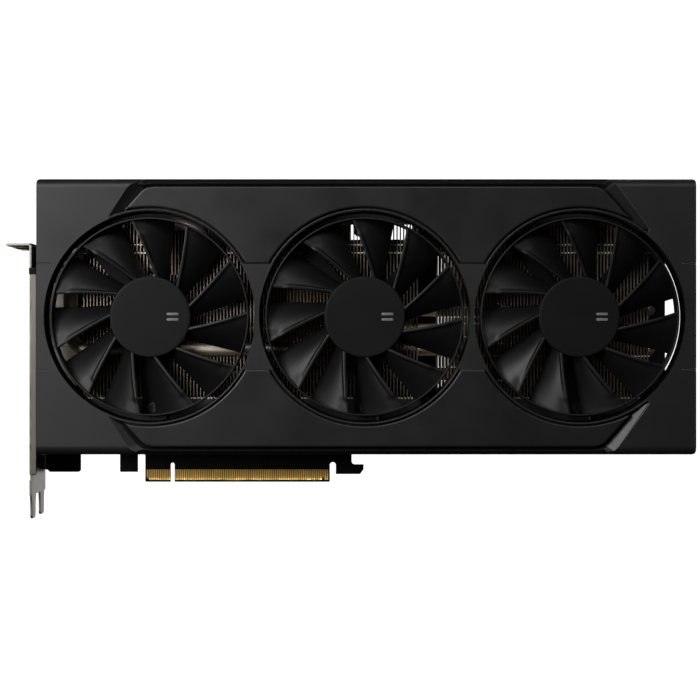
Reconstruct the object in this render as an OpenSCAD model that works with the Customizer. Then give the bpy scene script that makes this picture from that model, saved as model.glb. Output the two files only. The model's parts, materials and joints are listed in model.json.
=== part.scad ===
// Two-slot graphics card with three axial fans.
// Every piece is modelled flat: x runs along the card away from the bracket, y runs up from the
// bottom edge of the bus connector, z rises from the middle of the circuit board towards the fans.
// stand() then sets the card upright: fans face -Y and the bus connector points down.
// The origin is the centre of the connector's key notch, on its bottom edge, mid-board.

/* [Shroud] */
// Length of the shroud
shroud_len = 291; // [288:0.5:294]
// Height of the shroud, from its bottom wall to its top wall
shroud_h = 122; // [120:0.5:123]
// Left end of the shroud, from the key notch
shroud_x0 = -56.4; // [-57:0.1:-56]
// Wall thickness of the shroud's sides
wall = 1.6; // [1.2:0.1:2]
// Radius of the long front edges
edge_r = 4; // [3:0.5:5]

/* [Fans] */
// Number of blades on each impeller
blade_count = 11; // [7:1:13]
// Distance between neighbouring fan centres
fan_pitch = 94.95; // [94.5:0.05:95.5]
// Radius of the round fan openings in the shroud
opening_r = 46.6; // [46:0.1:46.8]
// Outer radius of the impeller's ring
ring_r = 43.9; // [43:0.1:44.5]
// Outer radius of the impeller's hub
hub_r = 17.9; // [17.5:0.1:18.5]

/* [Heatsink] */
// Distance between neighbouring fins
fin_pitch = 3; // [1.5:0.5:3]
// Thickness of one fin
fin_t = 0.5; // [0.3:0.1:0.5]
// Diameter of the heat pipes
pipe_d = 6; // [5:0.5:6]

/* [Circuit board] */
// Thickness of the circuit board
board_t = 1.57; // [1.5:0.01:1.6]
// Length of the circuit board, from its bracket end
board_len = 176.5; // [175:0.5:177]

/* [Bracket] */
// Thickness of the bracket's sheet
sheet_t = 1; // [0.8:0.05:1]
// Height of the bracket, from its tab to the tips of its tail
bracket_h = 120.02; // [119:0.01:121]

/* [Hidden] */
$fn = 64;
small_fn = 24;

// Levels above the middle of the board
board_top = board_t / 2;
front_z = 36.8;          // front of the trim panels
face_z = 36.2;           // front of the shroud's wings and necks
skin_z = 33.8;           // inside of the shroud's front
pocket_z = 34.8;         // floor of the pocket that holds the trim
accent_z = 35.6;         // front of the accent strips
wall_z0 = -0.5;          // rear edge of the shroud's long walls
ring_z0 = 28;            // rear edge of the impeller's ring
ring_z1 = 36.1;          // front edge of the impeller's ring
blade_z0 = 25.8;         // lowest point of a blade
hub_z0 = 25.2;           // rear edge of the hub cup
hub_z1 = 34;             // front of the hub
mount_z0 = 22.4;         // rear of the fan mounts
mount_z1 = 24.2;         // front of the fan mounts
fin_z0 = 5.8;            // rear of the fins, on the cold plate
fin_z1 = 21.1;           // front of the fins
fin_step_z = 13.5;       // rear of the fins' front part
pipe_z = fin_z0 + pipe_d / 2 + 0.1;
front_pipe_z = 18;       // level of the pipes at the fins' front

// Places along the card and up the card
shroud_x1 = shroud_x0 + shroud_len;
mid_y = 75.6;
shroud_y0 = mid_y - shroud_h / 2;
shroud_y1 = mid_y + shroud_h / 2;
fan_x = [88.45 - fan_pitch, 88.45, 88.45 + fan_pitch];
neck_y = 23.4;           // half height of the necks between the fans
board_x0 = -57.5;
board_x1 = board_x0 + board_len;
board_y1 = 111.15;
rail_y = [20.5, 39];   // lower and upper side of the stiffener rail
rail_z = [9, 22.4];      // rear and front of the stiffener rail
main_x = [-38, 112];     // ends of the main fin stack
tail_x = [121, 217];     // ends of the tail fin stack
plug_x = [84.5, 106.5];  // room for the power connector
gpu_at = [46, 64];
pipe_ys = [50, 59, 69, 78];
arm_angles = [50, 130];
arm_r = 53;
foot_r = 40.5;
post_r = 3.2;
slot_pitch = 20.32;      // distance between two expansion slots
bracket_z = [-3.3, 35.4];
bracket_x = -59.6;
tab_y = 106.2;

module stand() rotate([90, 0, 0]) children();
module slab(z0, z1) translate([0, 0, z0]) linear_extrude(z1 - z0) children();
module box(p, q) translate(p) cube(q - p);
module disc(r, z0, z1, fn = $fn) translate([0, 0, z0]) cylinder(r = r, h = z1 - z0, $fn = fn);
module tube(r_out, r_in, z0, z1) difference() {
    disc(r_out, z0, z1);
    disc(r_in, z0 - 1, z1 + 1);
}
module at_fan(i) translate([fan_x[i], mid_y, 0]) children();
module each_fan() for (i = [0 : 2]) at_fan(i) children();
module polar(a, r) rotate(a) translate([r, 0, 0]) children();
module mirrored_y() translate([0, 2 * mid_y, 0]) mirror([0, 1, 0]) children();
// Pan-head screw standing on level z, with its shank going down
module screw(z, head_r, head_h, shank_r, shank) {
    translate([0, 0, z - shank]) cylinder(r = shank_r, h = shank + 0.01, $fn = small_fn);
    difference() {
        translate([0, 0, z]) cylinder(r = head_r, h = head_h, $fn = small_fn);
        for (a = [0, 90]) rotate(a) translate([-head_r * 0.6, -0.25, z + head_h * 0.5])
            cube([head_r * 1.2, 0.5, head_h]);
    }
}

// ---------- Shroud ----------

// Outline of everything that lies between the two wings, above the middle
module trim_field_2d() difference() {
    polygon([[-31, 99], [-31, 110], [-25.1, 119.25], [-16.5, 132.46], [-12.3, 135.1], [-8, 138],
             [191.7, 138], [195.7, 135.46], [200, 133.48], [213.4, 115], [217, 110], [217, 99]]);
    for (x = fan_x) translate([x, mid_y]) circle(r = opening_r + 0.9, $fn = 128);
    for (x = [-60, 205]) translate([x, 90]) square([45, 22]);
}
// Outline of the panel inside that field
module panel_2d() difference() {
    polygon([[-25, mid_y + neck_y], [-25, 114.5], [-9.7, 131.3], [-7, 132.7], [-2, 133],
             [188, 133], [191.5, 132.7], [193.9, 131.8], [202.5, 122], [212, 111.3],
             [212, mid_y + neck_y]]);
    for (x = fan_x) translate([x, mid_y]) circle(r = opening_r + 1.6, $fn = 128);
}
module accent_2d() difference() {
    trim_field_2d();
    panel_grown_2d();
    translate([-60, 136.3]) square([300, 5]);
}
module panel_grown_2d() difference() {
    polygon([[-25.3, 98.7], [-25.3, 114.7], [-9.9, 131.6], [-7.1, 133], [-2, 133.3],
             [188, 133.3], [191.6, 133], [194.1, 132.1], [202.8, 122.1], [212.3, 111.4],
             [212.3, 98.7]]);
    for (x = fan_x) translate([x, mid_y]) circle(r = opening_r - 2, $fn = 128);
}

// Cross-section of the shroud's shell: y to the right, z up
module shell_section_2d(inset, z0) {
    r = edge_r - inset;
    translate([shroud_y0 + inset, z0]) square([shroud_h - 2 * inset, face_z - edge_r - z0]);
    translate([shroud_y0 + edge_r, z0]) square([shroud_h - 2 * edge_r, face_z - inset - z0]);
    for (y = [shroud_y0 + edge_r, shroud_y1 - edge_r])
        translate([y, face_z - edge_r]) circle(r = r, $fn = 48);
}
module shell_solid(inset, z0, x0, x1)
    translate([x0, 0, 0]) rotate([90, 0, 90]) linear_extrude(x1 - x0) shell_section_2d(inset, z0);

module shroud_posts(z0) {
    each_fan() for (a = arm_angles) polar(a, arm_r) disc(post_r, z0, skin_z + 0.5, small_fn);
    for (p = post_spots) translate([p.x, p.y, 0]) disc(2.8, back_z[1], skin_z + 0.5, small_fn);
}

module front_shroud() color([0.13, 0.13, 0.135]) difference() {
    union() {
        difference() {
            intersection() {
                shell_solid(0, wall_z0, shroud_x0, shroud_x1);
                translate([shroud_x0, shroud_y0, -5]) slab(0, 60) rounded_2d([shroud_len, shroud_h], 1.6);
            }
            shell_solid(wall, wall_z0 - 5, shroud_x0 + wall, shroud_x1 - wall);
            box([shroud_x0 + wall, shroud_y0 + wall, wall_z0 - 2], [shroud_x1 - wall, shroud_y1 - wall, 5]);
        }
        intersection() {
            box([shroud_x0 + 1, shroud_y0 + 1, skin_z], [shroud_x1 - 1, shroud_y1 - 1, face_z]);
            shell_solid(0, 0, shroud_x0, shroud_x1);
        }
        each_fan() disc(opening_r + 1.2, 31, skin_z + 1);
        shroud_posts(mount_z1);
    }
    each_fan() disc(opening_r, 0, 60, 128);
    // pockets for the trim
    for (side = [0, 1]) mirror_if(side) {
        slab(pocket_z, 60) trim_field_2d();
    }
    // short grooves in the wings, level with the necks
    for (y = [mid_y - neck_y, mid_y + neck_y]) {
        box([shroud_x0 - 1, y - 0.3, face_z - 0.6], [-50, y + 0.3, 60]);
        box([228.6, y - 0.3, face_z - 0.6], [shroud_x1 + 1, y + 0.3, 60]);
    }
    wall_openings();
    // screw holes in the posts
    each_fan() for (a = arm_angles) polar(a, arm_r) disc(1.1, 0, skin_z - 2, small_fn);
    for (p = post_spots) translate([p.x, p.y, 0]) disc(1.1, -5, skin_z - 4, small_fn);
}
module mirror_if(side) {
    if (side == 1) mirrored_y() children();
    else children();
}
module rounded_2d(size, r) {
    translate([r, 0]) square([size.x - 2 * r, size.y]);
    translate([0, r]) square([size.x, size.y - 2 * r]);
    for (x = [r, size.x - r], y = [r, size.y - r]) translate([x, y]) circle(r = r, $fn = 32);
}

module wall_openings() {
    // exhaust windows along the top and bottom walls
    for (y = [shroud_y0 - 1, shroud_y1 - wall - 1], x = [-40, -2, 36, 124, 154, 184])
        box([x, y, 6], [x + (x < 100 ? 34 : 26), y + wall + 2, 19]);
    // room for the power plug at the top
    box([plug_x[0] - 4, shroud_y1 - wall - 1, -2], [plug_x[1] + 4, shroud_y1 + 1, 22]);
    // the bracket end is open behind the front frame, and so is the far end
    box([shroud_x0 - 1, shroud_y0 + 8, -2], [shroud_x0 + wall + 1, shroud_y1 - 8, 30]);
    box([shroud_x1 - wall - 1, shroud_y0 + 14, -2], [shroud_x1 + 1, shroud_y1 - 14, 27]);
    // the board and the bracket's ears reach under the end wall
    box([-60, 0, -4], [shroud_x0 + wall + 0.1, 120, 2.5]);
    // the board's lower tabs and the bus connector pass under the rear edge of the bottom wall
    box([-60, shroud_y0 - 1, -2], [shroud_x1 + 1, shroud_y0 + wall + 1, 2]);
}

module upper_trim_panel() color([0.1, 0.1, 0.105]) trim_panel();
module lower_trim_panel() color([0.1, 0.1, 0.105]) mirrored_y() trim_panel();
module trim_panel() {
    slab(pocket_z, front_z - 0.4) panel_2d();
    slab(front_z - 0.41, front_z) offset(delta = -0.35) panel_2d();
}
module upper_accent_strip() color([0.07, 0.07, 0.075]) accent_strip();
module lower_accent_strip() color([0.07, 0.07, 0.075]) mirrored_y() accent_strip();
module accent_strip() intersection() {
    slab(pocket_z, accent_z) accent_2d();
    shell_solid(0.2, 20, shroud_x0, shroud_x1);
}

// ---------- Fans ----------

// A blade is a curved plate between the hub and the ring. Its leading edge sweeps forward with
// the radius, and its surface falls from the leading edge to the trailing edge.
blade_r0 = hub_r - 0.9;
blade_r1 = ring_r - 0.5;
blade_sweep = 21;
blade_chord = 24;
blade_t = 1.1;
blade_rows = 6;
blade_cols = 5;
function blade_angle(u, s) = blade_sweep * u - blade_chord * s;
function blade_top(u, s) = (33.4 + 2.2 * sin(90 * u)) * (1 - s) + (blade_z0 + blade_t) * s
    - 1.1 * sin(180 * s);
function blade_point(i, j, low) =
    let (u = i / blade_rows, s = j / blade_cols, r = blade_r0 + (blade_r1 - blade_r0) * u,
         a = blade_angle(u, s))
    [r * cos(a), r * sin(a), blade_top(u, s) - (low ? blade_t : 0)];
// Solid from points and faces listed anticlockwise as seen from outside
module solid_mesh(points, faces)
    polyhedron(points, [for (f = faces) [for (k = [len(f) - 1 : -1 : 0]) f[k]]]);
module blade() {
    n = blade_cols + 1;
    m = (blade_rows + 1) * n;
    points = [for (low = [false, true], i = [0 : blade_rows], j = [0 : blade_cols])
        blade_point(i, j, low)];
    top = [for (i = [0 : blade_rows - 1], j = [0 : blade_cols - 1], t = [0, 1])
        let (p = i * n + j) t == 0 ? [p, p + 1, p + n + 1] : [p, p + n + 1, p + n]];
    side = concat(
        [for (i = [0 : blade_rows - 1]) [i * n, (i + 1) * n]],
        [for (j = [0 : blade_cols - 1]) [blade_rows * n + j, blade_rows * n + j + 1]],
        [for (i = [blade_rows : -1 : 1]) [i * n + blade_cols, (i - 1) * n + blade_cols]],
        [for (j = [blade_cols : -1 : 1]) [j, j - 1]]);
    faces = concat(top,
        [for (f = top) [f[0] + m, f[2] + m, f[1] + m]],
        [for (e = side, t = [0, 1]) t == 0 ? [e[0], e[1], e[1] + m] : [e[0], e[1] + m, e[0] + m]]);
    solid_mesh(points, faces);
}
module impeller() color([0.08, 0.08, 0.085]) {
    difference() {
        disc(hub_r, hub_z0, hub_z1);
        disc(hub_r - 1.4, hub_z0 - 1, hub_z1 - 1.4);
    }
    difference() {
        disc(3.4, hub_z1 - 3.4, hub_z1 - 1.39, small_fn);
        disc(1.5, hub_z1 - 4, hub_z1 - 1.4, small_fn);
    }
    tube(ring_r, ring_r - 0.9, ring_z0, ring_z1);
    for (k = [0 : blade_count - 1]) rotate(47 + k * 360 / blade_count) blade();
}
// Plain printed mark: two short bars off the hub's centre
module hub_badge() color([0.55, 0.55, 0.56]) for (y = [-1.3, 1.3])
    translate([10, y, hub_z1]) slab(0, 0.08) square([6, 1.2], center = true);
module magnet_ring() color([0.3, 0.3, 0.32]) tube(hub_r - 1.5, hub_r - 3.6, hub_z0 + 0.4, hub_z1 - 1.5);
module shaft() color([0.75, 0.75, 0.77]) disc(1.5, mount_z0 + 0.8, hub_z1 - 1.4, small_fn);
module bearing() color([0.7, 0.55, 0.3]) difference() {
    disc(3, mount_z0 + 1.2, hub_z1 - 4, 32);
    disc(1.55, 0, 60, 32);
}
module stator() color([0.65, 0.35, 0.18]) difference() {
    union() {
        tube(6.6, 4.6, mount_z1, hub_z1 - 4.2);
        for (k = [0 : 5]) rotate(k * 60) {
            box([6, -1.4, mount_z1 + 1.4], [12, 1.4, hub_z1 - 5]);
            intersection() {
                tube(13.6, 11.4, mount_z1 + 1, hub_z1 - 4.6);
                box([8, -5.2, 0], [15, 5.2, 60]);
            }
        }
    }
    disc(4.6, 0, 60);
}
module fan_mount() color([0.06, 0.06, 0.065]) difference() {
    union() {
        disc(hub_r - 0.6, mount_z0, mount_z1);
        disc(4.5, mount_z0, hub_z1 - 4.4, 48);
        for (a = arm_angles) {
            rotate(a) box([hub_r - 4, -3, mount_z0], [arm_r, 3, mount_z1]);
            polar(a, arm_r) disc(4, mount_z0, mount_z1, small_fn);
        }
        box([-4.5, -foot_r, mount_z0], [4.5, -(hub_r - 4), mount_z1]);
        translate([0, -foot_r, 0]) disc(4.5, mount_z0, mount_z1, small_fn);
    }
    disc(3, mount_z0 + 1.2, 60, 32);
    disc(1.7, mount_z0 + 0.4, 60, 32);
    for (a = arm_angles) polar(a, arm_r) disc(1.3, 0, 60, small_fn);
    translate([0, -foot_r, 0]) disc(1.3, 0, 60, small_fn);
}
module fan_mount_screws() color([0.5, 0.5, 0.5]) each_fan() for (a = arm_angles)
    polar(a, arm_r) translate([0, 0, mount_z0]) mirror([0, 0, 1]) screw(0, 2.3, 1.2, 1, 7);
module fan_foot_screws() color([0.2, 0.2, 0.2]) each_fan()
    translate([0, -foot_r, 0]) screw(mount_z1, 2.3, 0.9, 1, 5);

// Fan leads: each runs down its mount's foot arm, over the rail's lower side and along the
// bottom wall to its header. Points are [x, y, z] in the flat frame.
lead_r = 0.9;
header_x = [-20, 78, 110];
lead_drop = 6.2;
function lead_route(i) = let (x = fan_x[i] + lead_drop, h = header_x[i], d = h > x ? 1 : -1) [
    [x, 59, 23.4], [x, 50, 23.4], [x, 36, 23.5], [x, 23, 23.5], [x, 21, 23.6], [x, 19.4, 22.9],
    [x, 18.5, 21.3], [x, 18.4, 17.5], [x + d * 2, 18.4, 14], [x + d * 6, 18.4, 12], [h - d * 8, 18.4, 12],
    [h - d * 4, 18.4, 11], [h - d * 1, 18.4, 9], [h, 18.4, 6.2]];
function spline(p, i, t) = let (n = len(p) - 1, a = p[max(i - 1, 0)], b = p[i], c = p[i + 1],
    d = p[min(i + 2, n)]) 0.5 * (2 * b + (c - a) * t + (2 * a - 5 * b + 4 * c - d) * t * t
    + (3 * b - a - 3 * c + d) * t * t * t);
function smooth_route(p, steps) = concat([for (i = [0 : len(p) - 2], k = [0 : steps - 1])
    spline(p, i, k / steps)], [p[len(p) - 1]]);
module sweep(path, r, sides) {
    n = len(path);
    points = [for (i = [0 : n - 1]) let (
        t = path[min(i + 1, n - 1)] - path[max(i - 1, 0)], w = t / norm(t),
        u0 = cross(w, abs(w.x) < 0.8 ? [1, 0, 0] : [0, 0, 1]), u = u0 / norm(u0), v = cross(w, u))
        for (k = [0 : sides - 1]) path[i] + r * (cos(360 * k / sides) * u + sin(360 * k / sides) * v)];
    ring_faces = [for (i = [0 : n - 2], k = [0 : sides - 1], q = [0, 1])
        let (a = i * sides + k, b = i * sides + (k + 1) % sides)
        q == 0 ? [a, b, b + sides] : [a, b + sides, a + sides]];
    solid_mesh(points, concat(ring_faces, [[for (k = [sides - 1 : -1 : 0]) k]],
        [[for (k = [0 : sides - 1]) (n - 1) * sides + k]]));
}
module fan_cables() color([0.05, 0.05, 0.05]) for (i = [0 : 2])
    sweep(smooth_route(lead_route(i), 3), lead_r, 8);
module fan_headers() color([0.85, 0.83, 0.75]) for (x = header_x)
    box([x - 4.5, 16.6, board_top], [x + 4.5, 20.2, 6.2]);

// A channel that carries the fans' feet; its own feet stand on the board and on the backplate
module stiffener_rail() color([0.07, 0.07, 0.075]) difference() {
    union() {
        box([-36, rail_y[0], rail_z[0]], [216, rail_y[0] + 1.2, rail_z[1]]);
        box([-36, rail_y[1] - 1.2, rail_z[0]], [216, rail_y[1], rail_z[1]]);
        box([-36, rail_y[0], rail_z[1] - 1.2], [216, rail_y[1], rail_z[1]]);
        for (p = rail_feet) box([p.x - 4, rail_y[0], p.x > board_x1 ? back_z[1] : board_top],
            [p.x + 4, p.y + 3, rail_z[0] + 1]);
    }
    for (x = fan_x) translate([x, mid_y - foot_r, 0]) disc(1.1, 12, 60, small_fn);
    for (p = rail_feet) translate([p.x, p.y, 0]) disc(1.15, -5, 5, small_fn);
}

// ---------- Heatsink ----------

// Profile of one fin at place x: y to the right, z up. It steps back over the rail,
// the power connector and the pipes at its front.
fin_y0 = 39;
arch_x = [-6, 16];
arch_y = 107;
front_run = [-44.5, 57];
front_run_y = 61;
module fin_2d(x) difference() {
    union() {
        translate([fin_y0, fin_step_z]) square([118 - fin_y0, fin_z1 - fin_step_z]);
        translate([fin_y0 + 1, fin_z0]) square([116 - fin_y0, fin_step_z - fin_z0 + 0.5]);
    }
    for (y = pipe_ys) translate([y - pipe_d / 2 - 0.1, fin_z0 - 1]) square([pipe_d + 0.2, pipe_d + 1.2]);
    if (x < front_run[1] + 3) translate([front_run_y - 3.1, front_pipe_z - 3.1]) square([6.2, 20]);
    if (x > plug_x[0] - 3 && x < plug_x[1] + 3) translate([84, 0]) square([60, fin_step_z]);
}
module fin_stack(x0, x1) {
    for (x = [x0 : fin_pitch : x1]) translate([x, 0, 0]) rotate([90, 0, 90])
        linear_extrude(fin_t) fin_2d(x);
    // folded tabs join each fin to the next
    for (y = [fin_y0, 104.3, 108]) box([x0, y, fin_z1 - 0.9], [x1, y + 0.4, fin_z1 - 0.1]);
    box([x0, 42, fin_z0], [x1, 45, fin_z0 + 0.4]);
}
module main_fin_stack() color([0.6, 0.58, 0.55]) difference() {
    fin_stack(main_x[0], main_x[1]);
    box([arch_x[0] - 3.1, 95, front_pipe_z - 3.1], [arch_x[1] + 3.1, 130, 40]);
}
module tail_fin_stack() color([0.6, 0.58, 0.55]) fin_stack(tail_x[0], tail_x[1]);

module pipe_run(p, q) {
    v = q - p;
    translate(p) rotate([0, acos(v.z / norm(v)), atan2(v.y, v.x)])
        cylinder(d = pipe_d, h = norm(v), $fn = 48);
}
module pipe_end(p) translate(p) sphere(d = pipe_d, $fn = 48);
// Quarter or half turn of pipe in a plane level with the board
module pipe_turn(c, r, a0, a1) translate(c) rotate(a0) rotate_extrude(angle = a1 - a0, $fn = 96)
    translate([r, 0]) circle(d = pipe_d, $fn = 48);
module base_heat_pipes() color([0.72, 0.68, 0.62]) for (y = pipe_ys) {
    pipe_run([main_x[0] - 1, y, pipe_z], [tail_x[1] + 1.5, y, pipe_z]);
    pipe_end([main_x[0] - 1, y, pipe_z]);
    pipe_end([tail_x[1] + 1.5, y, pipe_z]);
}
module front_heat_pipes() color([0.72, 0.68, 0.62]) {
    z = front_pipe_z;
    turn_r = 9;
    pipe_run([front_run[0] + turn_r, front_run_y, z], [front_run[1], front_run_y, z]);
    pipe_end([front_run[1], front_run_y, z]);
    pipe_turn([front_run[0] + turn_r, front_run_y + turn_r, z], turn_r, 180, 270);
    pipe_run([front_run[0], front_run_y + turn_r, z], [front_run[0], 86, z]);
    pipe_end([front_run[0], 86, z]);
    arch_r = (arch_x[1] - arch_x[0]) / 2;
    pipe_turn([arch_x[0] + arch_r, arch_y, z], arch_r, 0, 180);
    for (x = arch_x) {
        pipe_run([x, 98, z], [x, arch_y, z]);
        pipe_end([x, 98, z]);
    }
}
module cold_plate() color([0.75, 0.55, 0.4]) difference() {
    translate([0, 46, plate_z]) slab(0, fin_z0 - plate_z) rounded_2d([74, 61], 2);
    for (p = spring_spots) translate([p.x, p.y, 0]) disc(1.3, 0, 9, small_fn);
}

// ---------- Circuit board ----------

plate_z = board_top + 2;   // rear of the cold plate
chip_spots = [for (y = [53, 66, 79, 92]) [8, y], for (x = [27, 42, 57]) [x, 99]];
bracket_spots = [[-48, 21.1], [-48, 104]];
rail_feet = [[-30, 23.5], [42, 23.5], [112, 23.5], [140, 23.5], [208, 23.5]];
board_screws = [[-30, 23.5], [42, 23.5], [112, 23.5], [-30, 104], [78, 104], [112, 104]];
tail_screws = [[140, 23.5], [208, 23.5]];
spring_spots = [for (x = [-25, 25], y = [-19.5, 19.5]) [gpu_at.x + x, gpu_at.y + y]];
module board_2d() difference() {
    union() {
        translate([board_x0, 13.4]) square([board_len, board_y1 - 13.4]);
        translate([board_x0, 4.6]) rounded_2d([board_x0 * -1 - 42.46, 12], 1.2);
        translate([-24.27, 4.6]) square([8.17, 12]);
        translate([-12.6, 0]) square([85.2, 16]);
        translate([-17, 12.7]) square([5, 2]);
        translate([72, 7.6]) square([4, 7]);
        translate([75.4, 3.6]) square([7.3, 12]);
        polygon([[82, 3.6], [86.6, 3.6], [88.2, 5.8], [88.2, 8.06], [82, 8.06]]);
    }
    translate([-0.95, -2]) square([1.9, 9.89]);
    translate([0, 7.89]) circle(r = 0.95, $fn = small_fn);
    translate([72.6, -2]) square([2.8, 9.7]);
    translate([74, 7.7]) circle(r = 1.4, $fn = small_fn);
}
module circuit_board() color([0.03, 0.035, 0.03]) difference() {
    slab(-board_top, board_top) board_2d();
    // bevel along the connector's lower edge, both faces
    for (side = [0, 1]) mirror([0, 0, side]) translate([-20, 0, board_top]) rotate([0, 90, 0])
        linear_extrude(94) polygon([[0, 1.6], [0.45, -0.01], [-1, -0.01], [-1, 1.6]]);
    for (p = concat(spring_spots, board_screws, bracket_spots))
        translate([p.x, p.y, 0]) disc(1.6, -5, 5, small_fn);
}
// Contacts at 1 mm pitch, on both faces of the blade
contact_l = 4.3;
module contact_row(x0, n) for (k = [0 : n - 1], side = [0, 1]) mirror([0, 0, side])
    box([x0 + k - 0.35, 1.6, board_top], [x0 + k + 0.35, 1.6 + contact_l, board_top + 0.04]);
module edge_contacts() color([0.83, 0.62, 0.25]) {
    contact_row(-11.5, 11);
    contact_row(1.5, 71);
}
module gpu_package() color([0.1, 0.25, 0.18]) {
    translate([gpu_at.x - 19, gpu_at.y - 19, board_top]) cube([38, 38, 1.1]);
    translate([gpu_at.x - 8, gpu_at.y - 10, board_top + 1.1]) cube([16, 20, 0.9]);
}
module memory_chips() color([0.06, 0.06, 0.06]) for (p = chip_spots)
    translate([p.x - 6, p.y - 6, board_top]) cube([12, 12, 1.1]);
module memory_pads() color([0.55, 0.6, 0.65]) for (p = chip_spots)
    translate([p.x - 5.5, p.y - 5.5, board_top + 1.1]) cube([11, 11, 0.9]);
module power_inductors() color([0.3, 0.3, 0.3]) {
    for (y = [32, 41, 50, 59, 68, 77]) translate([84, y - 3.8, board_top]) cube([7, 7.4, 4]);
    for (y = [44, 53, 62]) translate([-20, y - 3.8, board_top]) cube([7, 7.4, 4]);
}
module power_stages() color([0.08, 0.08, 0.08]) {
    for (y = [32, 41, 50, 59, 68, 77]) translate([94, y - 2.8, board_top]) cube([6, 5.4, 1]);
    for (y = [44, 53, 62]) translate([-28, y - 2.8, board_top]) cube([5, 5.4, 1]);
}
module capacitors() color([0.7, 0.7, 0.72]) {
    for (y = [33, 43, 53, 63, 73]) translate([108, y, board_top]) {
        cylinder(d = 6.3, h = 4.6, $fn = 32);
        translate([-3.3, -3.3, 0]) cube([6.6, 6.6, 0.7]);
    }
}

// Eight-way power header: its mouth faces up the card
plug_y = [90, 111.2];
plug_z = [board_top, 11.8];
way = 4.2;
module power_connector() color([0.05, 0.05, 0.05]) {
    cx = (plug_x[0] + plug_x[1]) / 2;
    difference() {
        union() {
            box([cx - 9.6, plug_y[0], plug_z[0]], [cx + 9.6, plug_y[1], plug_z[1]]);
            box([cx - 2, plug_y[1] - 9, plug_z[1]], [cx + 2, plug_y[1] - 3, plug_z[1] + 1.1]);
        }
        for (k = [-1.5 : 1 : 1.5], row = [0, 1])
            box([cx + k * way - 1.85, plug_y[1] - 12.5, plug_z[0] + 1.1 + row * 4.6],
                [cx + k * way + 1.85, plug_y[1] + 1, plug_z[0] + 5 + row * 4.6]);
    }
}
module power_pins() color([0.8, 0.78, 0.7]) {
    cx = (plug_x[0] + plug_x[1]) / 2;
    for (k = [-1.5 : 1 : 1.5], row = [0, 1])
        box([cx + k * way - 0.5, plug_y[1] - 12.5, plug_z[0] + 2.55 + row * 4.6],
            [cx + k * way + 0.5, plug_y[1] - 3, plug_z[0] + 3.55 + row * 4.6]);
}

// Display sockets: [centre up the card, mouth width, mouth height]
sockets = [[35.2, 14.2, 4.8], [53.5, 16.2, 5], [71.5, 16.2, 5], [89.5, 16.2, 5]];
socket_depth = 17;
module display_sockets() color([0.6, 0.6, 0.62]) for (s = sockets) difference() {
    box([bracket_x + 0.1, s[0] - s[1] / 2 - 0.8, board_top],
        [bracket_x + socket_depth, s[0] + s[1] / 2 + 0.8, board_top + s[2] + 1.9]);
    box([bracket_x - 1, s[0] - s[1] / 2, board_top + 1.1],
        [bracket_x + socket_depth - 1, s[0] + s[1] / 2, board_top + 1.1 + s[2]]);
}
module socket_tongues() color([0.05, 0.05, 0.05]) for (s = sockets)
    box([bracket_x + 5, s[0] - s[1] / 2 + 1.6, board_top + 1.1 + s[2] * 0.42],
        [bracket_x + socket_depth - 1, s[0] + s[1] / 2 - 1.6, board_top + 1.1 + s[2] * 0.7]);

// ---------- Backplate ----------

back_z = [-3.1, -2.1];
post_spots = [[-48, 130.1], [42, 130.1], [136, 130.1], [226, 130.1], [226, 21.1]];
module backplate_2d() difference() {
    translate([-57, 15]) rounded_2d([285, 121], 3);
    // window over the processor's retention spring
    translate([gpu_at.x - 33, gpu_at.y - 29.5]) rounded_2d([66, 59], 4);
    // window behind the mouth of the power connector
    translate([plug_x[0] - 3.5, 112]) square([29, 6]);
    // flow-through vents over the tail
    for (x = [121 : 6.5 : 140]) translate([x, 44]) rounded_2d([4.5, 61], 2.2);
    for (x = [150 : 6.5 : 216]) translate([x, 40]) rounded_2d([3.5, 70], 1.7);
}
module backplate() color([0.07, 0.07, 0.075]) difference() {
    slab(back_z[0], back_z[1]) backplate_2d();
    for (p = concat(board_screws, tail_screws, post_spots))
        translate([p.x, p.y, 0]) disc(1.3, -9, 5, small_fn);
}
module backplate_spacers() color([0.7, 0.7, 0.7])
    for (p = board_screws) translate([p.x, p.y, 0]) tube(2.6, 1.15, back_z[1], -board_top);
module backplate_screws() color([0.1, 0.1, 0.1]) for (p = concat(board_screws, tail_screws))
    translate([p.x, p.y, back_z[0]]) mirror([0, 0, 1]) screw(0, 2.4, 0.7, 1.1, 5);
spring_z = -board_top - 1;
module retention_spring() color([0.55, 0.55, 0.56]) translate([gpu_at.x, gpu_at.y, spring_z]) difference() {
    slab(0, 1) union() {
        for (a = [38, 142]) rotate(a) square([62, 9], center = true);
        square([24, 24], center = true);
        for (x = [-25, 25], y = [-19.5, 19.5]) translate([x, y]) circle(r = 4.5, $fn = 32);
    }
    for (x = [-25, 25], y = [-19.5, 19.5]) translate([x, y, 0]) disc(1.3, -5, 5, small_fn);
    slab(-1, 3) circle(r = 6, $fn = 32);
}
module retention_screws() color([0.75, 0.75, 0.76]) for (p = spring_spots)
    translate([p.x, p.y, spring_z]) mirror([0, 0, 1]) screw(0, 2.6, 1, 1.2, 6.4);

// ---------- Bracket ----------

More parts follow.
